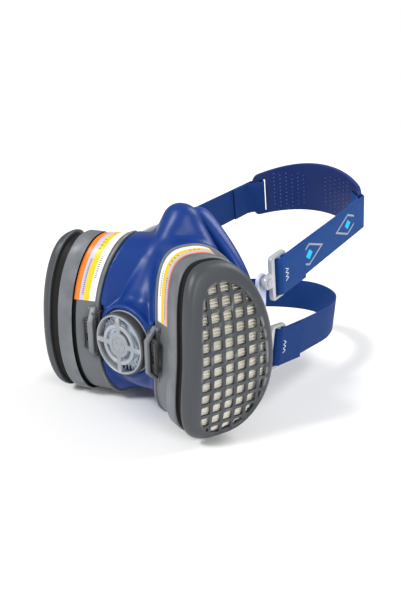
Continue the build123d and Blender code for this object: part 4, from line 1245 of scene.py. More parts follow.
@dataclass
class Facepiece:
    """Moulded facepiece and its rolled face seal, in millimetres."""

    wall: float = 2.6
    seat_face: float = -0.45
    boss_face: float = -3.6
    drum: Outline = Outline(63.6, 100.2, 5.6)
    recess: Outline = Outline(53.0, 84.8, 3.0)
    drum_depth: float = 34.0
    front_draft: float = 0.42
    valve: tuple[float, float, float] = (0.0, -64.8, -22.3)
    valve_pitch: float = 5.3
    boss_r: float = 21.6
    tube_r: float = 17.1
    port_u: float = 8.0
    rear_y: float = 6.2
    grid_step: float = 1.15

    def valve_axis(self) -> Array:
        """Outward direction of the exhalation valve."""
        pitch = math.radians(self.valve_pitch)
        return np.array([0.0, -math.cos(pitch), -math.sin(pitch)])

    @staticmethod
    def bean_distance(q: Array, outline: Outline, draft: float = 0.0) -> Array:
        """Near distance to a straight-walled kidney outline.

        Args:
            q: Local seat points.
            outline: The outline at the seat.
            draft: Narrowing of its front edge for each millimetre of depth.

        Returns:
            Signed distance across the wall.
        """
        depth = np.maximum(-q[:, 2] - 5.0, 0.0)
        width = outline.width - draft * depth
        shift = outline.shift + draft * depth / 2
        height = outline.height - draft * 0.36 * depth
        lift = draft * 0.18 * depth

        def power(u: Array, v: Array) -> Array:
            s = (v - lift) / (height / 2)
            held = np.clip(s, -1.15, 1.15)
            c = (u - shift + SEAT.bend * (held * held - 0.5)) / (width / 2 * (1 - SEAT.taper * held))
            return (np.abs(c) ** SEAT.power + np.abs(s) ** SEAT.power) ** (1 / SEAT.power) - 1

        step = 0.4
        value = power(q[:, 0], q[:, 1])
        du = (power(q[:, 0] + step, q[:, 1]) - value) / step
        dv = (power(q[:, 0], q[:, 1] + step) - value) / step
        return value / np.maximum(np.hypot(du, dv), 0.012)

    def outer(self, points: Array) -> Array:
        """Signed distance of the outside, before the hollow is taken out."""
        p = points.copy()
        p[:, 0] = np.sqrt(p[:, 0] ** 2 + 0.6)
        q = SEAT.local(p)
        level = np.sqrt(q[:, 1] ** 2 + (q[:, 2] + SEAT.crown) ** 2) - SEAT.crown
        side = self.bean_distance(q, self.drum, self.front_draft)
        drum = smooth_max(side, level - self.seat_face, 1.6)
        drum = smooth_max(drum, -self.drum_depth - level, 6.0)
        nose = round_cone(p, (0, -15.0, 44.3), (0, -40.0, 2.0), 9.2, 12.6)
        cheek = round_cone(p, (3, -13.0, 41.5), (28, -13.0, 8.0), 9.0, 11.5)
        nose = smooth_min(nose, cheek, 6.0)
        ridge = round_cone(p, (3.4, -37.5, 18.0), (6.2, -53.0, -6.0), 5.4, 4.6)
        body = ellipsoid(p, (0, -18.0, -14.0), (37.0, 30.0, 44.0))
        chin = ellipsoid(p, (0, -33.0, -37.0), (33.0, 25.0, 18.0))
        body = smooth_min(body, chin, 9.0)
        whole = smooth_min(nose, body, 7.0)
        whole = smooth_min(whole, drum, 2.6)
        whole = smooth_min(whole, ridge, 3.6)
        axis = self.valve_axis()
        rel = points - np.array(self.valve)
        along = rel @ axis
        across = np.linalg.norm(rel - along[:, None] * axis, axis=1)
        boss = smooth_max(across - self.boss_r + 0.16 * np.maximum(along + 7.4, -20), along + 7.4, 1.4)
        boss = smooth_max(boss, -26.0 - along, 3.0)
        whole = smooth_min(whole, boss, 3.2)
        lip = np.hypot(across - self.boss_r + 1.0, along + 6.9) - 1.5
        whole = smooth_min(whole, lip, 1.2)
        hood = p[:, 1] - np.interp(p[:, 2], (-60, 0, 20, 36, 50), (self.rear_y, self.rear_y, 3.6, -1.0, -3.6))
        whole = smooth_max(whole, hood, 2.4)
        cut = np.maximum(self.bean_distance(q, self.recess), self.boss_face - level)
        whole = np.maximum(whole, -cut)
        whole = np.maximum(whole, -self.box(q, (30.8, 60.0), (-19.0, 19.0), (-9.6, 10.0)))
        tilt = math.asin(Cartridge(Side.LEFT).latch_v / SEAT.crown)
        lift = q + np.array([0, 0, SEAT.crown])
        c, s = math.cos(tilt), math.sin(tilt)
        turned = np.column_stack([lift[:, 0], c * lift[:, 1] - s * lift[:, 2], s * lift[:, 1] + c * lift[:, 2] - SEAT.crown])
        whole = np.maximum(whole, -self.box(turned, (-40.0, -20.1), (-16.5, 16.5), (-3.9, 12.0)))
        whole = np.maximum(whole, -np.maximum(across - 13.3, np.maximum(-7.4 - 22 - along, along - 20)))
        return whole

    @staticmethod
    def box(q: Array, x: tuple[float, float], y: tuple[float, float], z: tuple[float, float]) -> Array:
        """Signed distance to a box, without rounding outside its corners."""
        spans = [np.maximum(low - q[:, i], q[:, i] - high) for i, (low, high) in enumerate((x, y, z))]
        return np.maximum(np.maximum(spans[0], spans[1]), spans[2])

    def shell(self, points: Array) -> Array:
        """Signed distance of the hollow moulding."""
        outside = self.outer(points)
        p = np.abs(points[:, 0])
        held = points.copy()
        held[:, 0] = p
        behind = points[:, 1] - 30.0
        hollow = np.maximum(outside + self.wall, behind)
        opening = ellipsoid(held, (0, 4.0, -8.0), (34.5, 22.0, 45.0))
        hollow = smooth_min(hollow, opening, 3.0)
        value = smooth_max(outside, -hollow, 0.8)
        q = SEAT.local(held)
        port = np.maximum(np.hypot(q[:, 0] - self.port_u, q[:, 1]) - self.tube_r - 0.15, np.abs(q[:, 2] + 9.0) - 9.5)
        return np.maximum(value, -port)

    def build(self) -> None:
        """Build the shell and the seal."""
        low, high = np.array([-52.0, -76.0, -70.0]), np.array([52.0, 12.0, 60.0])
        points, quads = surface_net(self.shell, low, high, self.grid_step)
        step = 0.05
        for _ in range(3):
            value = self.shell(points)
            slope = np.stack([(self.shell(points + step * axis) - self.shell(points - step * axis)) / (2 * step) for axis in np.eye(3)], axis=1)
            size = np.maximum((slope ** 2).sum(axis=1), 0.25)
            points = points - np.clip(value / size, -0.5, 0.5)[:, None] * slope
        face = new_object("facepiece_look", points, quads.tolist())
        outward(face, 0.002)
        smooth = face.modifiers.new("relax", "SMOOTH")
        smooth.factor = 0.4
        smooth.iterations = 2
        apply_modifiers(face)
        soften(face, 62)
        settle(face, "mask", "facepiece_rubber", "facepiece rubber", "facepiece")
        self.build_seal()

    def seal_point(self, angle: Array, inset: float, y: float) -> Array:
        """Points round the face opening at an inset."""
        c, s = np.cos(angle), np.sin(angle)
        c, s = np.sign(c) * np.abs(c) ** (2 / 2.2), np.sign(s) * np.abs(s) ** (2 / 2.2)
        top, bottom, widest, half = 48.5, -52.5, -14.0, 43.4
        z = widest + np.where(s > 0, (top - inset - widest) * s, (widest - bottom - inset) * s)
        x = (half - inset) * c * (1 - 0.60 * np.maximum(s, 0) ** 2.1)
        return np.column_stack([x, np.full_like(x, y), z])

    def build_seal(self) -> None:
        """Rolled, soft seal that closes the rear of the shell."""
        angle = (np.arange(180) + 0.5) * 2 * math.pi / 180
        s = np.sin(angle)
        crown = np.clip(s, 0, 1) ** 1.6
        chin = np.clip(-s, 0, 1) ** 2.0
        reach = 9.5 * crown + 6.0 * chin
        swell = 0.2 + 1.6 * crown + 1.0 * chin
        profile = (
            (3.4, 3.6, 1.0, 0.0), (1.3, 3.9, 1.0, 0.2), (0.3, 4.8, 0.85, 0.7), (0.0, 6.4, 0.55, 1.0), (0.1, 8.2, 0.25, 1.0),
            (0.7, 10.0, 0.1, 0.8), (1.9, 11.4, 0.0, 0.4), (3.6, 12.1, 0.0, 0.1), (6.4, 12.1, 0.0, 0.0), (8.6, 11.6, 0.0, 0.0),
            (9.3, 10.9, 0.0, 0.0), (8.8, 10.2, 0.0, 0.0), (6.2, 10.3, 0.0, 0.0), (4.2, 9.8, 0.0, 0.0), (3.2, 8.0, 0.3, 0.0), (3.6, 5.4, 0.8, 0.0),
        )
        rings = []
        for inset, y, forward, out in profile:
            tuck = 8.0 * crown if forward > 0.75 and out < 0.1 else 0.0
            ring = self.seal_point(angle, inset + tuck, y)
            centre = np.array([0, 0, -8.0])
            away = ring - centre
            away[:, 1] = 0
            away /= np.linalg.norm(away, axis=1)[:, None]
            ring += away * (swell * out)[:, None]
            ring[:, 1] -= reach * forward
            ring[:, 1] -= 3.0 * crown * (1 - forward)
            rings.append(ring)
        seal = new_object("face_seal_look", *loft(rings, around=True))
        outward(seal)
        level = seal.modifiers.new("level", "SUBSURF")
        level.levels = level.render_levels = 1
        apply_modifiers(seal)
        soften(seal, 60)
        settle(seal, "mask", "seal_rubber", "seal rubber", "face_seal")


# ---------------------------------------------------------------- exhalation valve
def radial_tree() -> bpy.types.NodeTree:
    """Geometry Nodes tree that sets a bar round a circle."""
    tree = bpy.data.node_groups.new("radial bars", "GeometryNodeTree")
    tree.interface.new_socket("Geometry", in_out="OUTPUT", socket_type="NodeSocketGeometry")
    tree.interface.new_socket("Geometry", in_out="INPUT", socket_type="NodeSocketGeometry")
    for name in ("Radius", "Length", "Width", "Height", "Level"):
        tree.interface.new_socket(name, in_out="INPUT", socket_type=FLOAT)
    tree.interface.new_socket("Count", in_out="INPUT", socket_type="NodeSocketInt")
    tree.interface.new_socket("Material", in_out="INPUT", socket_type="NodeSocketMaterial")
    graph = Graph(tree)
    source, sink = graph.add("NodeGroupInput"), graph.add("NodeGroupOutput")
    circle = graph.add("GeometryNodeMeshCircle", {"Vertices": source.outputs["Count"], "Radius": source.outputs["Radius"]})
    size = graph.add("ShaderNodeCombineXYZ", {0: source.outputs["Length"], 1: source.outputs["Width"], 2: source.outputs["Height"]})
    bar = graph.add("GeometryNodeMeshCube", {"Size": size.outputs[0]})
    index = graph.add("GeometryNodeInputIndex").outputs[0]
    angle = graph.math("DIVIDE", graph.math("MULTIPLY", index, 2 * math.pi), source.outputs["Count"])
    turn = graph.add("ShaderNodeCombineXYZ", {2: angle})
    copies = graph.add("GeometryNodeInstanceOnPoints", {"Points": circle.outputs[0], "Instance": bar.outputs[0]})
    graph.put(copies.inputs["Rotation"], turn.outputs[0])
    rise = graph.add("ShaderNodeCombineXYZ", {2: source.outputs["Level"]})
    lifted = graph.add("GeometryNodeTransform", {"Geometry": copies.outputs[0], "Translation": rise.outputs[0]})
    real = graph.add("GeometryNodeRealizeInstances", {0: lifted.outputs[0]})
    finish = graph.add("GeometryNodeSetMaterial", {"Geometry": real.outputs[0], "Material": source.outputs["Material"]})
    graph.put(sink.inputs[0], finish.outputs[0])
    return tree


@dataclass
class Valve:
    """Exhalation valve: turning cover, side band and the ribbed ring behind it."""

    origin: tuple[float, float, float] = (0.0, -64.8, -22.3)
    pitch: float = 5.3
    radius: float = 17.5
    lip: float = 18.7
    depth: float = 6.9
    face: float = 1.6
    disc: float = 7.3
    slot: float = 9.6
    ring: float = 11.9
    window: float = 16.5
    spoke: float = 3.0
    flange_face: float = -5.7
    flange_r: float = 16.9

    def matrix(self) -> Matrix:
        """Matrix from the valve's own frame to the mask."""
        pitch = math.radians(self.pitch)
        out = Vector((0, -math.cos(pitch), -math.sin(pitch)))
        right = Vector((1, 0, 0))
        up = out.cross(right)
        matrix = Matrix((right, up, out)).transposed().to_4x4()
        matrix.translation = Vector(self.origin)
        return matrix

    def build(self) -> None:
        """Build and dress the valve."""
        rim = new_object("rim", *lathe([
            (self.window, -0.1), (self.window + 0.25, 0.15), (self.radius - 0.5, 0.15), (self.radius - 0.1, -0.05), (self.radius, -0.6),
            (self.radius, -self.depth + 1.1), (self.lip - 0.4, -self.depth + 1.1), (self.lip, -self.depth + 0.8), (self.lip, -self.depth + 0.2), (self.lip - 0.3, -self.depth),
            (self.flange_r + 0.35, -self.depth), (self.flange_r + 0.35, self.flange_face + 0.4), (self.window + 0.4, self.flange_face + 0.5), (self.window + 0.4, -self.face), (self.window, -self.face),
        ], 128))
        outward(rim)
        rings = [
            [(self.slot, -self.face), (self.slot, -0.25), (self.slot + 0.25, 0.0), (self.ring - 0.25, 0.0), (self.ring, -0.25), (self.ring, -self.face)],
        ]
        parts = [rim]
        for profile in rings:
            ring = new_object("ring", *lathe(profile, 96))
            outward(ring)
            parts.append(ring)
        hub = cylinder("hub", self.disc, -self.face, 0.05, 72, 0.3)
        parts.append(hub)
        for k in range(4):
            arm = brick("arm", (self.disc - 1.2, self.window + 0.35), (-self.spoke / 2, self.spoke / 2), (-self.face, 0.0), 0.25)
            parts.append(moved(arm, Matrix.Rotation(math.radians(90 * k), 4, "Z")))
        badge = new_object("badge", *lathe([(4.4, -0.2), (4.5, 0.38), (4.9, 0.38), (5.0, -0.2)], 64))
        outward(badge)
        parts.append(badge)
        for k in range(3):
            pip = moved(cylinder("pip", 0.9, -0.3, 0.38, 20, 0.1), Matrix.Rotation(math.radians(120 * k + 30), 4, "Z") @ Matrix.Translation((2.3, 0, 0)))
            parts.append(pip)
        cover = solid_union("exhalation_cover_look", parts)
        moved(cover, self.matrix())
        soften(cover, 40)
        settle(cover, "valve_cover", "cover_plastic", "light plastic", "exhalation_cover")
        band = new_object("cover_band_look", *lathe([
            (self.radius, -self.depth + 1.1), (self.radius + 0.7, -self.depth + 1.1), (self.radius + 0.8, -self.depth + 1.5),
            (self.radius + 0.8, -1.5), (self.radius + 0.5, -1.0), (self.radius, -0.9),
        ], 128))
        outward(band)
        moved(band, self.matrix())
        soften(band, 40)
        settle(band, "valve_cover", "band_plastic", "dark plastic", "cover_band")
        ribs = new_object("seat_ribs", np.zeros((0, 3)), [])
        run_nodes(ribs, bpy.data.node_groups["radial bars"], {
            "Radius": 14.6 * MM, "Length": 3.6 * MM, "Width": 0.5 * MM, "Height": 0.9 * MM,
            "Level": (self.flange_face + 0.4) * MM, "Count": 36, "Material": bpy.data.materials["clear plastic"],
        })
        outward(ribs)
        moved(ribs, self.matrix())
        settle(ribs, "mask", "cover_plastic", "clear plastic")


# ---------------------------------------------------------------- harness
def catmull(points: Sequence[Sequence[float]], steps: int = 12) -> Array:
    """Smooth curve through points."""
    p = np.asarray(points, float)
    p = np.vstack([2 * p[0] - p[1], p, 2 * p[-1] - p[-2]])
    result = []
    for i in range(1, len(p) - 2):
        a, b, c, d = p[i - 1:i + 3]
        for k in range(steps):
            t = k / steps
            result.append(0.5 * (2 * b + (c - a) * t + (2 * a - 5 * b + 4 * c - d) * t * t + (3 * b - a - 3 * c + d) * t ** 3))
    result.append(p[-2])
    return np.array(result)


def even(path: Array, step: float) -> Array:
    """Points on a path, no further apart than a step, keeping its bends."""
    result = [path[0]]
    for a, b in zip(path[:-1], path[1:]):
        count = max(1, int(np.linalg.norm(b - a) / step))
        result += [a + (b - a) * (k + 1) / count for k in range(count)]
    return np.array(result)


def dot_tree() -> bpy.types.NodeTree:
    """Geometry Nodes tree that sets small domes on the points of a mesh, along their normals."""
    tree = bpy.data.node_groups.new("grip domes", "GeometryNodeTree")
    tree.interface.new_socket("Geometry", in_out="OUTPUT", socket_type="NodeSocketGeometry")
    tree.interface.new_socket("Geometry", in_out="INPUT", socket_type="NodeSocketGeometry")
    tree.interface.new_socket("Radius", in_out="INPUT", socket_type=FLOAT)
    tree.interface.new_socket("Material", in_out="INPUT", socket_type="NodeSocketMaterial")
    graph = Graph(tree)
    source, sink = graph.add("NodeGroupInput"), graph.add("NodeGroupOutput")
    dome = graph.add("GeometryNodeMeshIcoSphere", {"Radius": source.outputs["Radius"], "Subdivisions": 2})
    copies = graph.add("GeometryNodeInstanceOnPoints", {"Points": source.outputs["Geometry"], "Instance": dome.outputs[0]})
    real = graph.add("GeometryNodeRealizeInstances", {0: copies.outputs[0]})
    soft = graph.add("GeometryNodeSetShadeSmooth", {0: real.outputs[0]})
    finish = graph.add("GeometryNodeSetMaterial", {"Geometry": soft.outputs[0], "Material": source.outputs["Material"]})
    graph.put(sink.inputs[0], finish.outputs[0])
    return tree


@dataclass
class Harness:
    """Head loop and neck loop, each drawn level and then turned to its place."""

    strap_width: float = 24.0
    strap_thick: float = 1.2
    buckle_x: float = 50.1
    buckle_thick: float = 3.0
    buckle_width: float = 28.8
    bar: float = 3.0
    gap: float = 3.5
    eye_r: float = 4.4
    yoke_x: float = 45.5
    upper_pivot: tuple[float, float] = (6.5, 12.0)
    lower_pivot: tuple[float, float] = (11.0, -31.0)
    head_rise: float = 13.9
    neck_rise: float = -2.0
    cradle_radius: float = 63.0
    cradle_apex: float = 148.0
    cradle_thick: float = 3.0
    cradle_arc: float = 46.5
    cradle_end: float = 32.0
    cradle_mid: float = 37.0
    slot_arc: float = 39.3
    slot_width: float = 4.4
    slot_height: float = 26.0
    fold: float = 24.0
    tail: float = 26.0
    neck_path: tuple[tuple[float, float], ...] = ((49.5, 55.0), (44.0, 96.0), (27.0, 133.0))
    neck_apex: float = 150.0
    ply: float = field(init=False)

    def __post_init__(self) -> None:
        """Work out the strap's centre line off a bar."""
        self.ply = self.strap_thick / 2 + 0.08

    def place(self, pivot: tuple[float, float], rise: float) -> Matrix:
        """Matrix from a level loop to the mask."""
        return Matrix.Translation((0, pivot[0], pivot[1])) @ Matrix.Rotation(math.radians(rise), 4, "X")

    def weave(self) -> list[tuple[float, float]]:
        """Strap centre line through a buckle, as in the buckle's plan."""
        mid_bar, rear_slot = 9.5, 12.5
        rear_bar, end = 16.0, 19.0
        outside = self.buckle_x + self.buckle_thick / 2 + self.ply
        inside = self.buckle_x - self.buckle_thick / 2 - self.ply
        over = outside + self.strap_thick + 0.15
        return [
            (over, end + self.tail - 8), (over, rear_slot - 1.5), (outside, mid_bar - self.ply), (inside, mid_bar - self.ply),
            (inside, rear_slot + self.ply), (outside - 1.2, rear_slot + self.ply), (outside, rear_bar - 0.8), (outside, end + 1.0),
        ]

    def cradle_point(self, arc: float, offset: float = 0.0) -> tuple[float, float]:
        """Plan point of the cradle's middle surface."""
        radius = self.cradle_radius + offset
        return radius * math.sin(math.radians(arc)), self.cradle_apex - self.cradle_radius + radius * math.cos(math.radians(arc))

    def head_path(self) -> Array:
        """Plan path of a head strap."""
        reach = self.cradle_thick / 2 + self.ply + 0.45
        first = self.cradle_point(self.cradle_arc + 1.0, reach)
        slot = self.slot_arc - 0.65
        start = self.weave()[-1]
        fold = []
        for distance in (8.0, self.fold):
            share = 1 - distance / (first[1] - start[1])
            fold.append((start[0] + (first[0] - start[0]) * share - self.strap_thick - 0.15, start[1] + (first[1] - start[1]) * share))
        path = self.weave() + [first, self.cradle_point(slot, reach), self.cradle_point(slot, -reach), self.cradle_point(self.cradle_arc + 1.0, -reach)] + fold
        return even(round_corners(path, 0.9, 4), 3.0)

    def neck_plan(self) -> Array:
        """Plan path of the neck strap, from tail to tail."""
        weave = self.weave()
        half = [weave[-1], *self.neck_path, (0.0, self.neck_apex)]
        whole = half + [(-x, y) for x, y in reversed(half[:-1])]
        curve = catmull(whole, 12)
        head = round_corners(weave[:-1] + [tuple(curve[0])], 0.9, 4)[:-1]
        tail = [(-x, y) for x, y in head[::-1]]
        return even(np.vstack([head, curve, tail]), 3.0)

    def ribbon(self, name: str, plan: Array, matrix: Matrix, mirrored: bool = False) -> bpy.types.Object:
        """Webbing that stands on a plan path, with rounded selvedges and its own UV.

        Args:
            name: Name of the piece.
            plan: Centre line in plan.
            matrix: Place of the loop.
            mirrored: Whether it is the wearer's right one.

        Returns:
            The strap.
        """
        keep = [0]
        for i in range(1, len(plan)):
            if np.linalg.norm(plan[i] - plan[keep[-1]]) > 0.05:
                keep.append(i)
        plan = plan[keep]
        tangent = np.gradient(plan, axis=0)
        tangent /= np.linalg.norm(tangent, axis=1)[:, None]
        normal = np.column_stack([tangent[:, 1], -tangent[:, 0]])
        length = np.concatenate([[0], np.cumsum(np.linalg.norm(np.diff(plan, axis=0), axis=1))])
        half, t = self.strap_width / 2, self.strap_thick / 2
        section = [(-half + 0.35, t), (-half * 0.5, t), (0, t), (half * 0.5, t), (half - 0.35, t), (half, 0.35 * t), (half, -0.35 * t)]
        section += [(half - 0.35, -t), (half * 0.5, -t), (0, -t), (-half * 0.5, -t), (-half + 0.35, -t), (-half, -0.35 * t), (-half, 0.35 * t)]
        wobble = 0.25 * np.sin(length / 37.0)
        rings = []
        for i, (x, y) in enumerate(plan):
            rings.append(np.array([(x + normal[i, 0] * b, y + normal[i, 1] * b, a + wobble[i]) for a, b in section]))
        points, faces = loft(rings)
        strap = new_object(name, points, faces)
        layer = strap.data.uv_layers.new(name="strap")
        count = len(section)
        for loop in strap.data.loops:
            i = loop.vertex_index
            row, column = (i // count, i % count) if i < count * len(rings) else ((0, 0) if i == count * len(rings) else (len(rings) - 1, 0))
            layer.data[loop.index].uv = (length[row], section[column][0] if i < count * len(rings) else 0.0)
        if mirrored:
            moved(strap, Matrix.Scale(-1, 4, Vector((1, 0, 0))))
        moved(strap, matrix)
        outward(strap, 0.001)
        soften(strap, 50)
        return strap

    def buckle(self, side: Side, pivot: tuple[float, float], rise: float, name: str) -> bpy.types.Object:
        """Three-bar slide with soft edges, its eye and its stud."""
        half = self.buckle_thick / 2
        front, width = 3.0, self.buckle_width / 2
        end = front + 3 * self.bar + 2 * self.gap
        # plan of the plate in (y, z), later stood up across X
        plate = prism("plate", rounded_rectangle((front, end), (-width, width), 3.4, 6), -half, half, 0.7)
        eye = cylinder("eye", self.eye_r, -half, half, 48, 0.6)
        neck = brick("neck", (0.0, front + 1.2), (-self.eye_r, self.eye_r), (-half, half), 0.5)
        stud = cylinder("stud", 2.5, -(self.buckle_x - self.yoke_x) - 1.1, -half + 0.5, 40, 0.3)
        cap = cylinder("boss", 2.4, half - 0.3, half + 0.5, 40, 0.3)
        cutters = []
        for start in (front + self.bar, front + 2 * self.bar + self.gap):
            cutters.append(prism("slot", rounded_rectangle((start, start + self.gap), (-width + 1.8, width - 1.8), 0.8), -9, 9))
        slide = solid_union(name, [plate, neck, eye, stud, cap], cutters)
        axes = Matrix(((0, 0, 1), (1, 0, 0), (0, 1, 0))).to_4x4()
        axes.translation = Vector((self.buckle_x, 0, 0))
        moved(slide, Matrix.Scale(side.value, 4, Vector((1, 0, 0))) @ self.place(pivot, rise) @ axes)
        soften(slide, 40)
        return slide

    def tack(self, side: Side, pivot: tuple[float, float], rise: float, name: str) -> bpy.types.Object:
        """Zigzag bar tack on the strap where it folds over the buckle."""
        x = self.buckle_x + self.buckle_thick / 2 + self.strap_thick * 2 + 0.15 + 0.10
        spots = [(15.2 + (1.6 if k % 2 else -1.6), -4.0 + 1.35 * k) for k in range(7)]
        rings = []
        path = even(np.array(spots), 0.6)
        for i, (y, z) in enumerate(path):
            a = path[min(i + 1, len(path) - 1)] - path[max(i - 1, 0)]
            a = a / np.linalg.norm(a)
            rings.append(np.array([(x + 0.16 * math.sin(t), y - a[1] * 0.22 * math.cos(t), z + a[0] * 0.22 * math.cos(t)) for t in np.arange(8) * math.pi / 4]))
        tack = new_object(name, *loft(rings))
        moved(tack, Matrix.Scale(side.value, 4, Vector((1, 0, 0))) @ self.place(pivot, rise))
        outward(tack, 0.001)
        return tack

    def build_cradle(self) -> None:
        """Curved head cradle with its slots, rounded edges and grip domes."""
        columns = []
        slot_half = math.degrees(self.slot_width / 2 / self.cradle_radius)
        stops = [-self.cradle_arc, -self.slot_arc - slot_half, -self.slot_arc + slot_half]
        arcs = [stops[0], stops[0] + 0.35, stops[0] + 1.1, stops[0] + 2.3, stops[0] + 3.6, stops[1], stops[2]]
        arcs += list(np.linspace(stops[2], 0, 26)[1:])
        arcs = np.array(arcs + [-a for a in arcs[-2::-1]])
        top_end = self.cradle_end / 2

        def limits(arc: float) -> tuple[float, float]:
            share = 1 - (math.sin(math.radians(arc)) / math.sin(math.radians(self.cradle_arc))) ** 2
            high = top_end + (self.cradle_mid - top_end + 4.0 - top_end) * share
            low = -top_end + 4.0 * share
            near = max(0.0, 1 - (self.cradle_arc - abs(arc)) / 4.4)
            round_off = 5.0 * (1 - math.sqrt(max(0.0, 1 - near * near)))
            return low + round_off, high - round_off

        slot = self.slot_height / 2
        rows = 15
        points, index = [], {}
        for i, arc in enumerate(arcs):
            low, high = limits(arc)
            heights = [low, low + 0.5, low + 1.2] if low + 1.2 < -slot else [low, (low * 2 - slot) / 3, (low - 2 * slot) / 3]
            heights += [-slot] + list(np.linspace(-slot, slot, rows - 6)[1:-1]) + [slot]
            heights += [high - 1.2, high - 0.5, high] if high - 1.2 > slot else [(high + 2 * slot) / 3, (high * 2 + slot) / 3, high]
            if low > -slot:
                heights = list(np.linspace(low, high, len(heights)))
            for j, height in enumerate(heights):
                index[i, j] = len(points)
                points.append((arc, height))
        rows = len(heights)
        faces = []
        for i in range(len(arcs) - 1):
            middle = abs((arcs[i] + arcs[i + 1]) / 2)
            for j in range(rows - 1):
                if abs(middle - self.slot_arc) < slot_half * 0.9 and 3 <= j < rows - 4:
                    continue
                faces.append([index[i, j], index[i + 1, j], index[i + 1, j + 1], index[i, j + 1]])
        flat = np.array(points)
        layers = []
        for offset in (-self.cradle_thick / 2, self.cradle_thick / 2):
            radius = self.cradle_radius + offset
            a = np.radians(flat[:, 0])
            layers.append(np.column_stack([radius * np.sin(a), self.cradle_apex - self.cradle_radius + radius * np.cos(a), flat[:, 1]]))
        size = len(flat)
        solid_faces = [face for face in faces] + [[k + size for k in face[::-1]] for face in faces]
        border = {}
        for face in faces:
            for k in range(4):
                a, b = face[k], face[(k + 1) % 4]
                if (b, a) in border:
                    del border[b, a]
                else:
                    border[a, b] = True
        solid_faces += [[b, a, a + size, b + size] for a, b in border]
        pad = new_object("head_cradle_look", np.concatenate(layers), solid_faces)
        outward(pad, 0.001)
        bevel(pad, 0.7, 3, 50)
        dots = []
        pitch_arc, pitch_z = 4.4, 3.1
        for i in range(-7, 8):
            if i == 0 or abs(i) == 1:
                continue
            for j in range(-3, 6):
                arc, z = i * pitch_arc, j * pitch_z + (pitch_z / 2 if i % 2 else 0)
                low, high = limits(arc)
                if low + 3.0 < z < high - 3.0:
                    x, y = self.cradle_point(arc, -self.cradle_thick / 2 - 0.02)
                    dots.append((x, y, z))
        domes = new_object("cradle_domes", np.array(dots), [])
        run_nodes(domes, bpy.data.node_groups["grip domes"], {"Radius": 0.55 * MM, "Material": bpy.data.materials["dome rubber"]})
        matrix = self.place(self.upper_pivot, self.head_rise)
        moved(pad, matrix)
        moved(domes, matrix)
        soften(pad, 50)
        settle(pad, "head_loop", "cradle_rubber", "cradle rubber", "head_cradle")
        settle(domes, "head_loop", "cradle_rubber", "dome rubber")

    def build(self) -> None:
        """Build and dress both loops."""
        head = self.place(self.upper_pivot, self.head_rise)
        neck = self.place(self.lower_pivot, self.neck_rise)
        for side in Side:
            strap = self.ribbon("head_strap_look_" + side.suffix, self.head_path(), head, side is Side.RIGHT)
            settle(strap, "head_loop", "strap_webbing", "strap webbing" if side is Side.LEFT else "plain webbing", "head_strap_" + side.suffix)
            upper = self.buckle(side, self.upper_pivot, self.head_rise, "upper_buckle_look_" + side.suffix)
            settle(upper, "head_loop", "buckle_plastic", "buckle plastic", "upper_buckle_" + side.suffix)
            lower = self.buckle(side, self.lower_pivot, self.neck_rise, "lower_buckle_look_" + side.suffix)
            settle(lower, "neck_loop", "buckle_plastic", "buckle plastic", "lower_buckle_" + side.suffix)
            for body, pivot, rise in (("head_loop", self.upper_pivot, self.head_rise), ("neck_loop", self.lower_pivot, self.neck_rise)):
                tack = self.tack(side, pivot, rise, f"{body}_tack_{side.suffix}")
                settle(tack, body, "strap_webbing", "tack thread")
        strap = self.ribbon("neck_strap_look", self.neck_plan(), neck)
        settle(strap, "neck_loop", "strap_webbing", "plain webbing", "neck_strap")
        self.build_cradle()


# ---------------------------------------------------------------- carried-over nodes
CARRIED = {
    "port_frame": "dark plastic", "port_nut": "dark plastic", "port_gasket": "gasket rubber", "hook_pin": "pin steel",
    "latch_pin": "pin steel", "inhalation_flap": "flap silicone", "side_yoke": "yoke plastic", "filter_tray": "dark plastic",
    "carbon_bed": "carbon grains", "outlet_screen": "screen mesh",
}


def dress_carried(nodes: dict[str, bpy.types.Object]) -> None:
    """Give each CAD node that stays visible its material.

    Args:
        nodes: The frame's nodes by name.
    """
    for stem, material in CARRIED.items():
        for side in Side:
            paint(nodes[f"{stem}_{side.suffix}"], material)
    paint(nodes["exhalation_seat"], "clear plastic")
    paint(nodes["exhalation_flap"], "flap silicone")


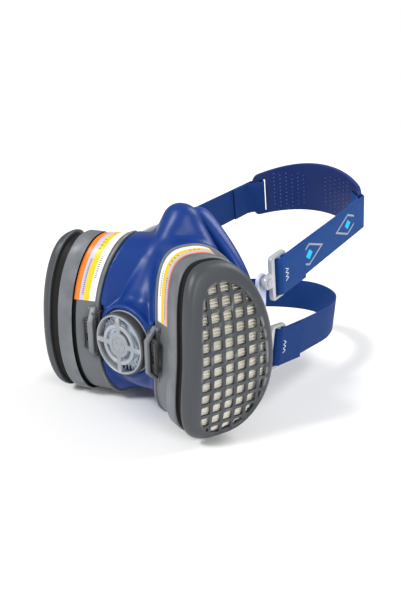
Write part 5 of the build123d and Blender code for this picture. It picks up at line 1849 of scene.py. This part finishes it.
# ---------------------------------------------------------------- stage
@dataclass(frozen=True)
class Studio:
    """Camera, floor and soft lights."""

    azimuth: float = 37.988
    elevation: float = 15.979
    roll: float = 3.0
    distance: float = 411.99
    aim_z: float = -8.0
    focal_px: float = 655.3
    centre_px: tuple[float, float] = (191.9, 299.36)
    picture: tuple[int, int] = (401, 601)
    floor_z: float = -68.0
    ambient: float = 0.42

    def axes(self) -> tuple[Vector, Vector, Vector]:
        """Camera's right, up and backward directions."""
        a, e, r = (math.radians(v) for v in (self.azimuth, self.elevation, self.roll))
        back = Vector((math.sin(a) * math.cos(e), -math.cos(a) * math.cos(e), math.sin(e)))
        right = Vector((math.cos(a), math.sin(a), 0))
        up = back.cross(right)
        return right * math.cos(r) + up * math.sin(r), up * math.cos(r) - right * math.sin(r), back

    def build_camera(self) -> None:
        """Set the camera."""
        right, up, back = self.axes()
        data = bpy.data.cameras.new("camera")
        camera = bpy.data.objects.new("camera", data)
        bpy.context.scene.collection.objects.link(camera)
        matrix = Matrix((right, up, back)).transposed().to_4x4()
        matrix.translation = (back * self.distance + Vector((0, 0, self.aim_z))) * MM
        camera.matrix_world = matrix
        width, height = self.picture
        data.sensor_width = data.sensor_height = 36.0
        data.lens = self.focal_px / height * 36.0
        data.shift_x = (width / 2 - self.centre_px[0]) / height
        data.shift_y = (self.centre_px[1] - height / 2) / height
        data.clip_start, data.clip_end = 0.01, 20.0
        bpy.context.scene.camera = camera

    def build_floor(self) -> None:
        """Lay a plain pale floor."""
        size = 3000.0
        floor = new_object("floor", *box_mesh((-size, size), (-size, size), (self.floor_z - 4.0, self.floor_z)), smooth=False)
        outward(floor)
        material = bpy.data.materials.new("floor paint")
        material.use_nodes = True
        shader = material.node_tree.nodes["Principled BSDF"]
        shader.inputs["Base Color"].default_value = (0.93, 0.93, 0.93, 1)
        shader.inputs["Roughness"].default_value = 0.9
        shader.inputs["Specular IOR Level"].default_value = 0.1
        floor.data.materials.append(material)

    def add_light(self, name: str, place: Sequence[float], spread: float, strength: float) -> None:
        """Aim a soft, even light at the mask.

        Args:
            name: Name of the light.
            place: A point that it shines from, in millimetres.
            spread: Angle that it fills, in degrees.
            strength: Irradiance, in watts for each square metre.
        """
        data = bpy.data.lights.new(name, "SUN")
        data.angle = math.radians(spread)
        data.energy = strength
        light = bpy.data.objects.new(name, data)
        bpy.context.scene.collection.objects.link(light)
        light.location = Vector(place) * MM
        light.rotation_euler = Vector(place).to_track_quat("Z", "Y").to_euler()

    def build_lights(self) -> None:
        """Light the mask softly from above and both sides."""
        bpy.context.scene.view_settings.view_transform = "Standard"
        world = bpy.data.worlds.new("studio")
        world.use_nodes = True
        graph = Graph(world.node_tree)
        ground = world.node_tree.nodes["Background"]
        ground.inputs["Color"].default_value = (1, 1, 1, 1)
        seen = graph.add("ShaderNodeLightPath").outputs["Is Camera Ray"]
        graph.put(ground.inputs["Strength"], graph.math("MULTIPLY_ADD", seen, 1.0 - self.ambient, self.ambient))
        bpy.context.scene.world = world
        self.add_light("key", (-300, -700, 650), 16.0, 2.4)
        self.add_light("side", (850, -350, 450), 30.0, 1.5)
        self.add_light("rim", (250, 700, 700), 30.0, 1.5)


def main() -> None:
    """Build the whole respirator."""
    logging.basicConfig(level=logging.INFO, format="%(name)s: %(message)s")
    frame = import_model()
    studio = Studio()
    studio.build_camera()
    moulded_group()
    weave_group()
    for finish in (*FINISHES, *WEBBINGS, LabelPrint()):
        finish.build()
    grille_tree()
    pleat_tree()
    radial_tree()
    dot_tree()
    dress_carried(frame["nodes"])
    for side in Side:
        Cartridge(side).build()
    Facepiece().build()
    Valve().build()
    Harness().build()
    studio.build_floor()
    studio.build_lights()


if __name__ == "__main__":
    main()
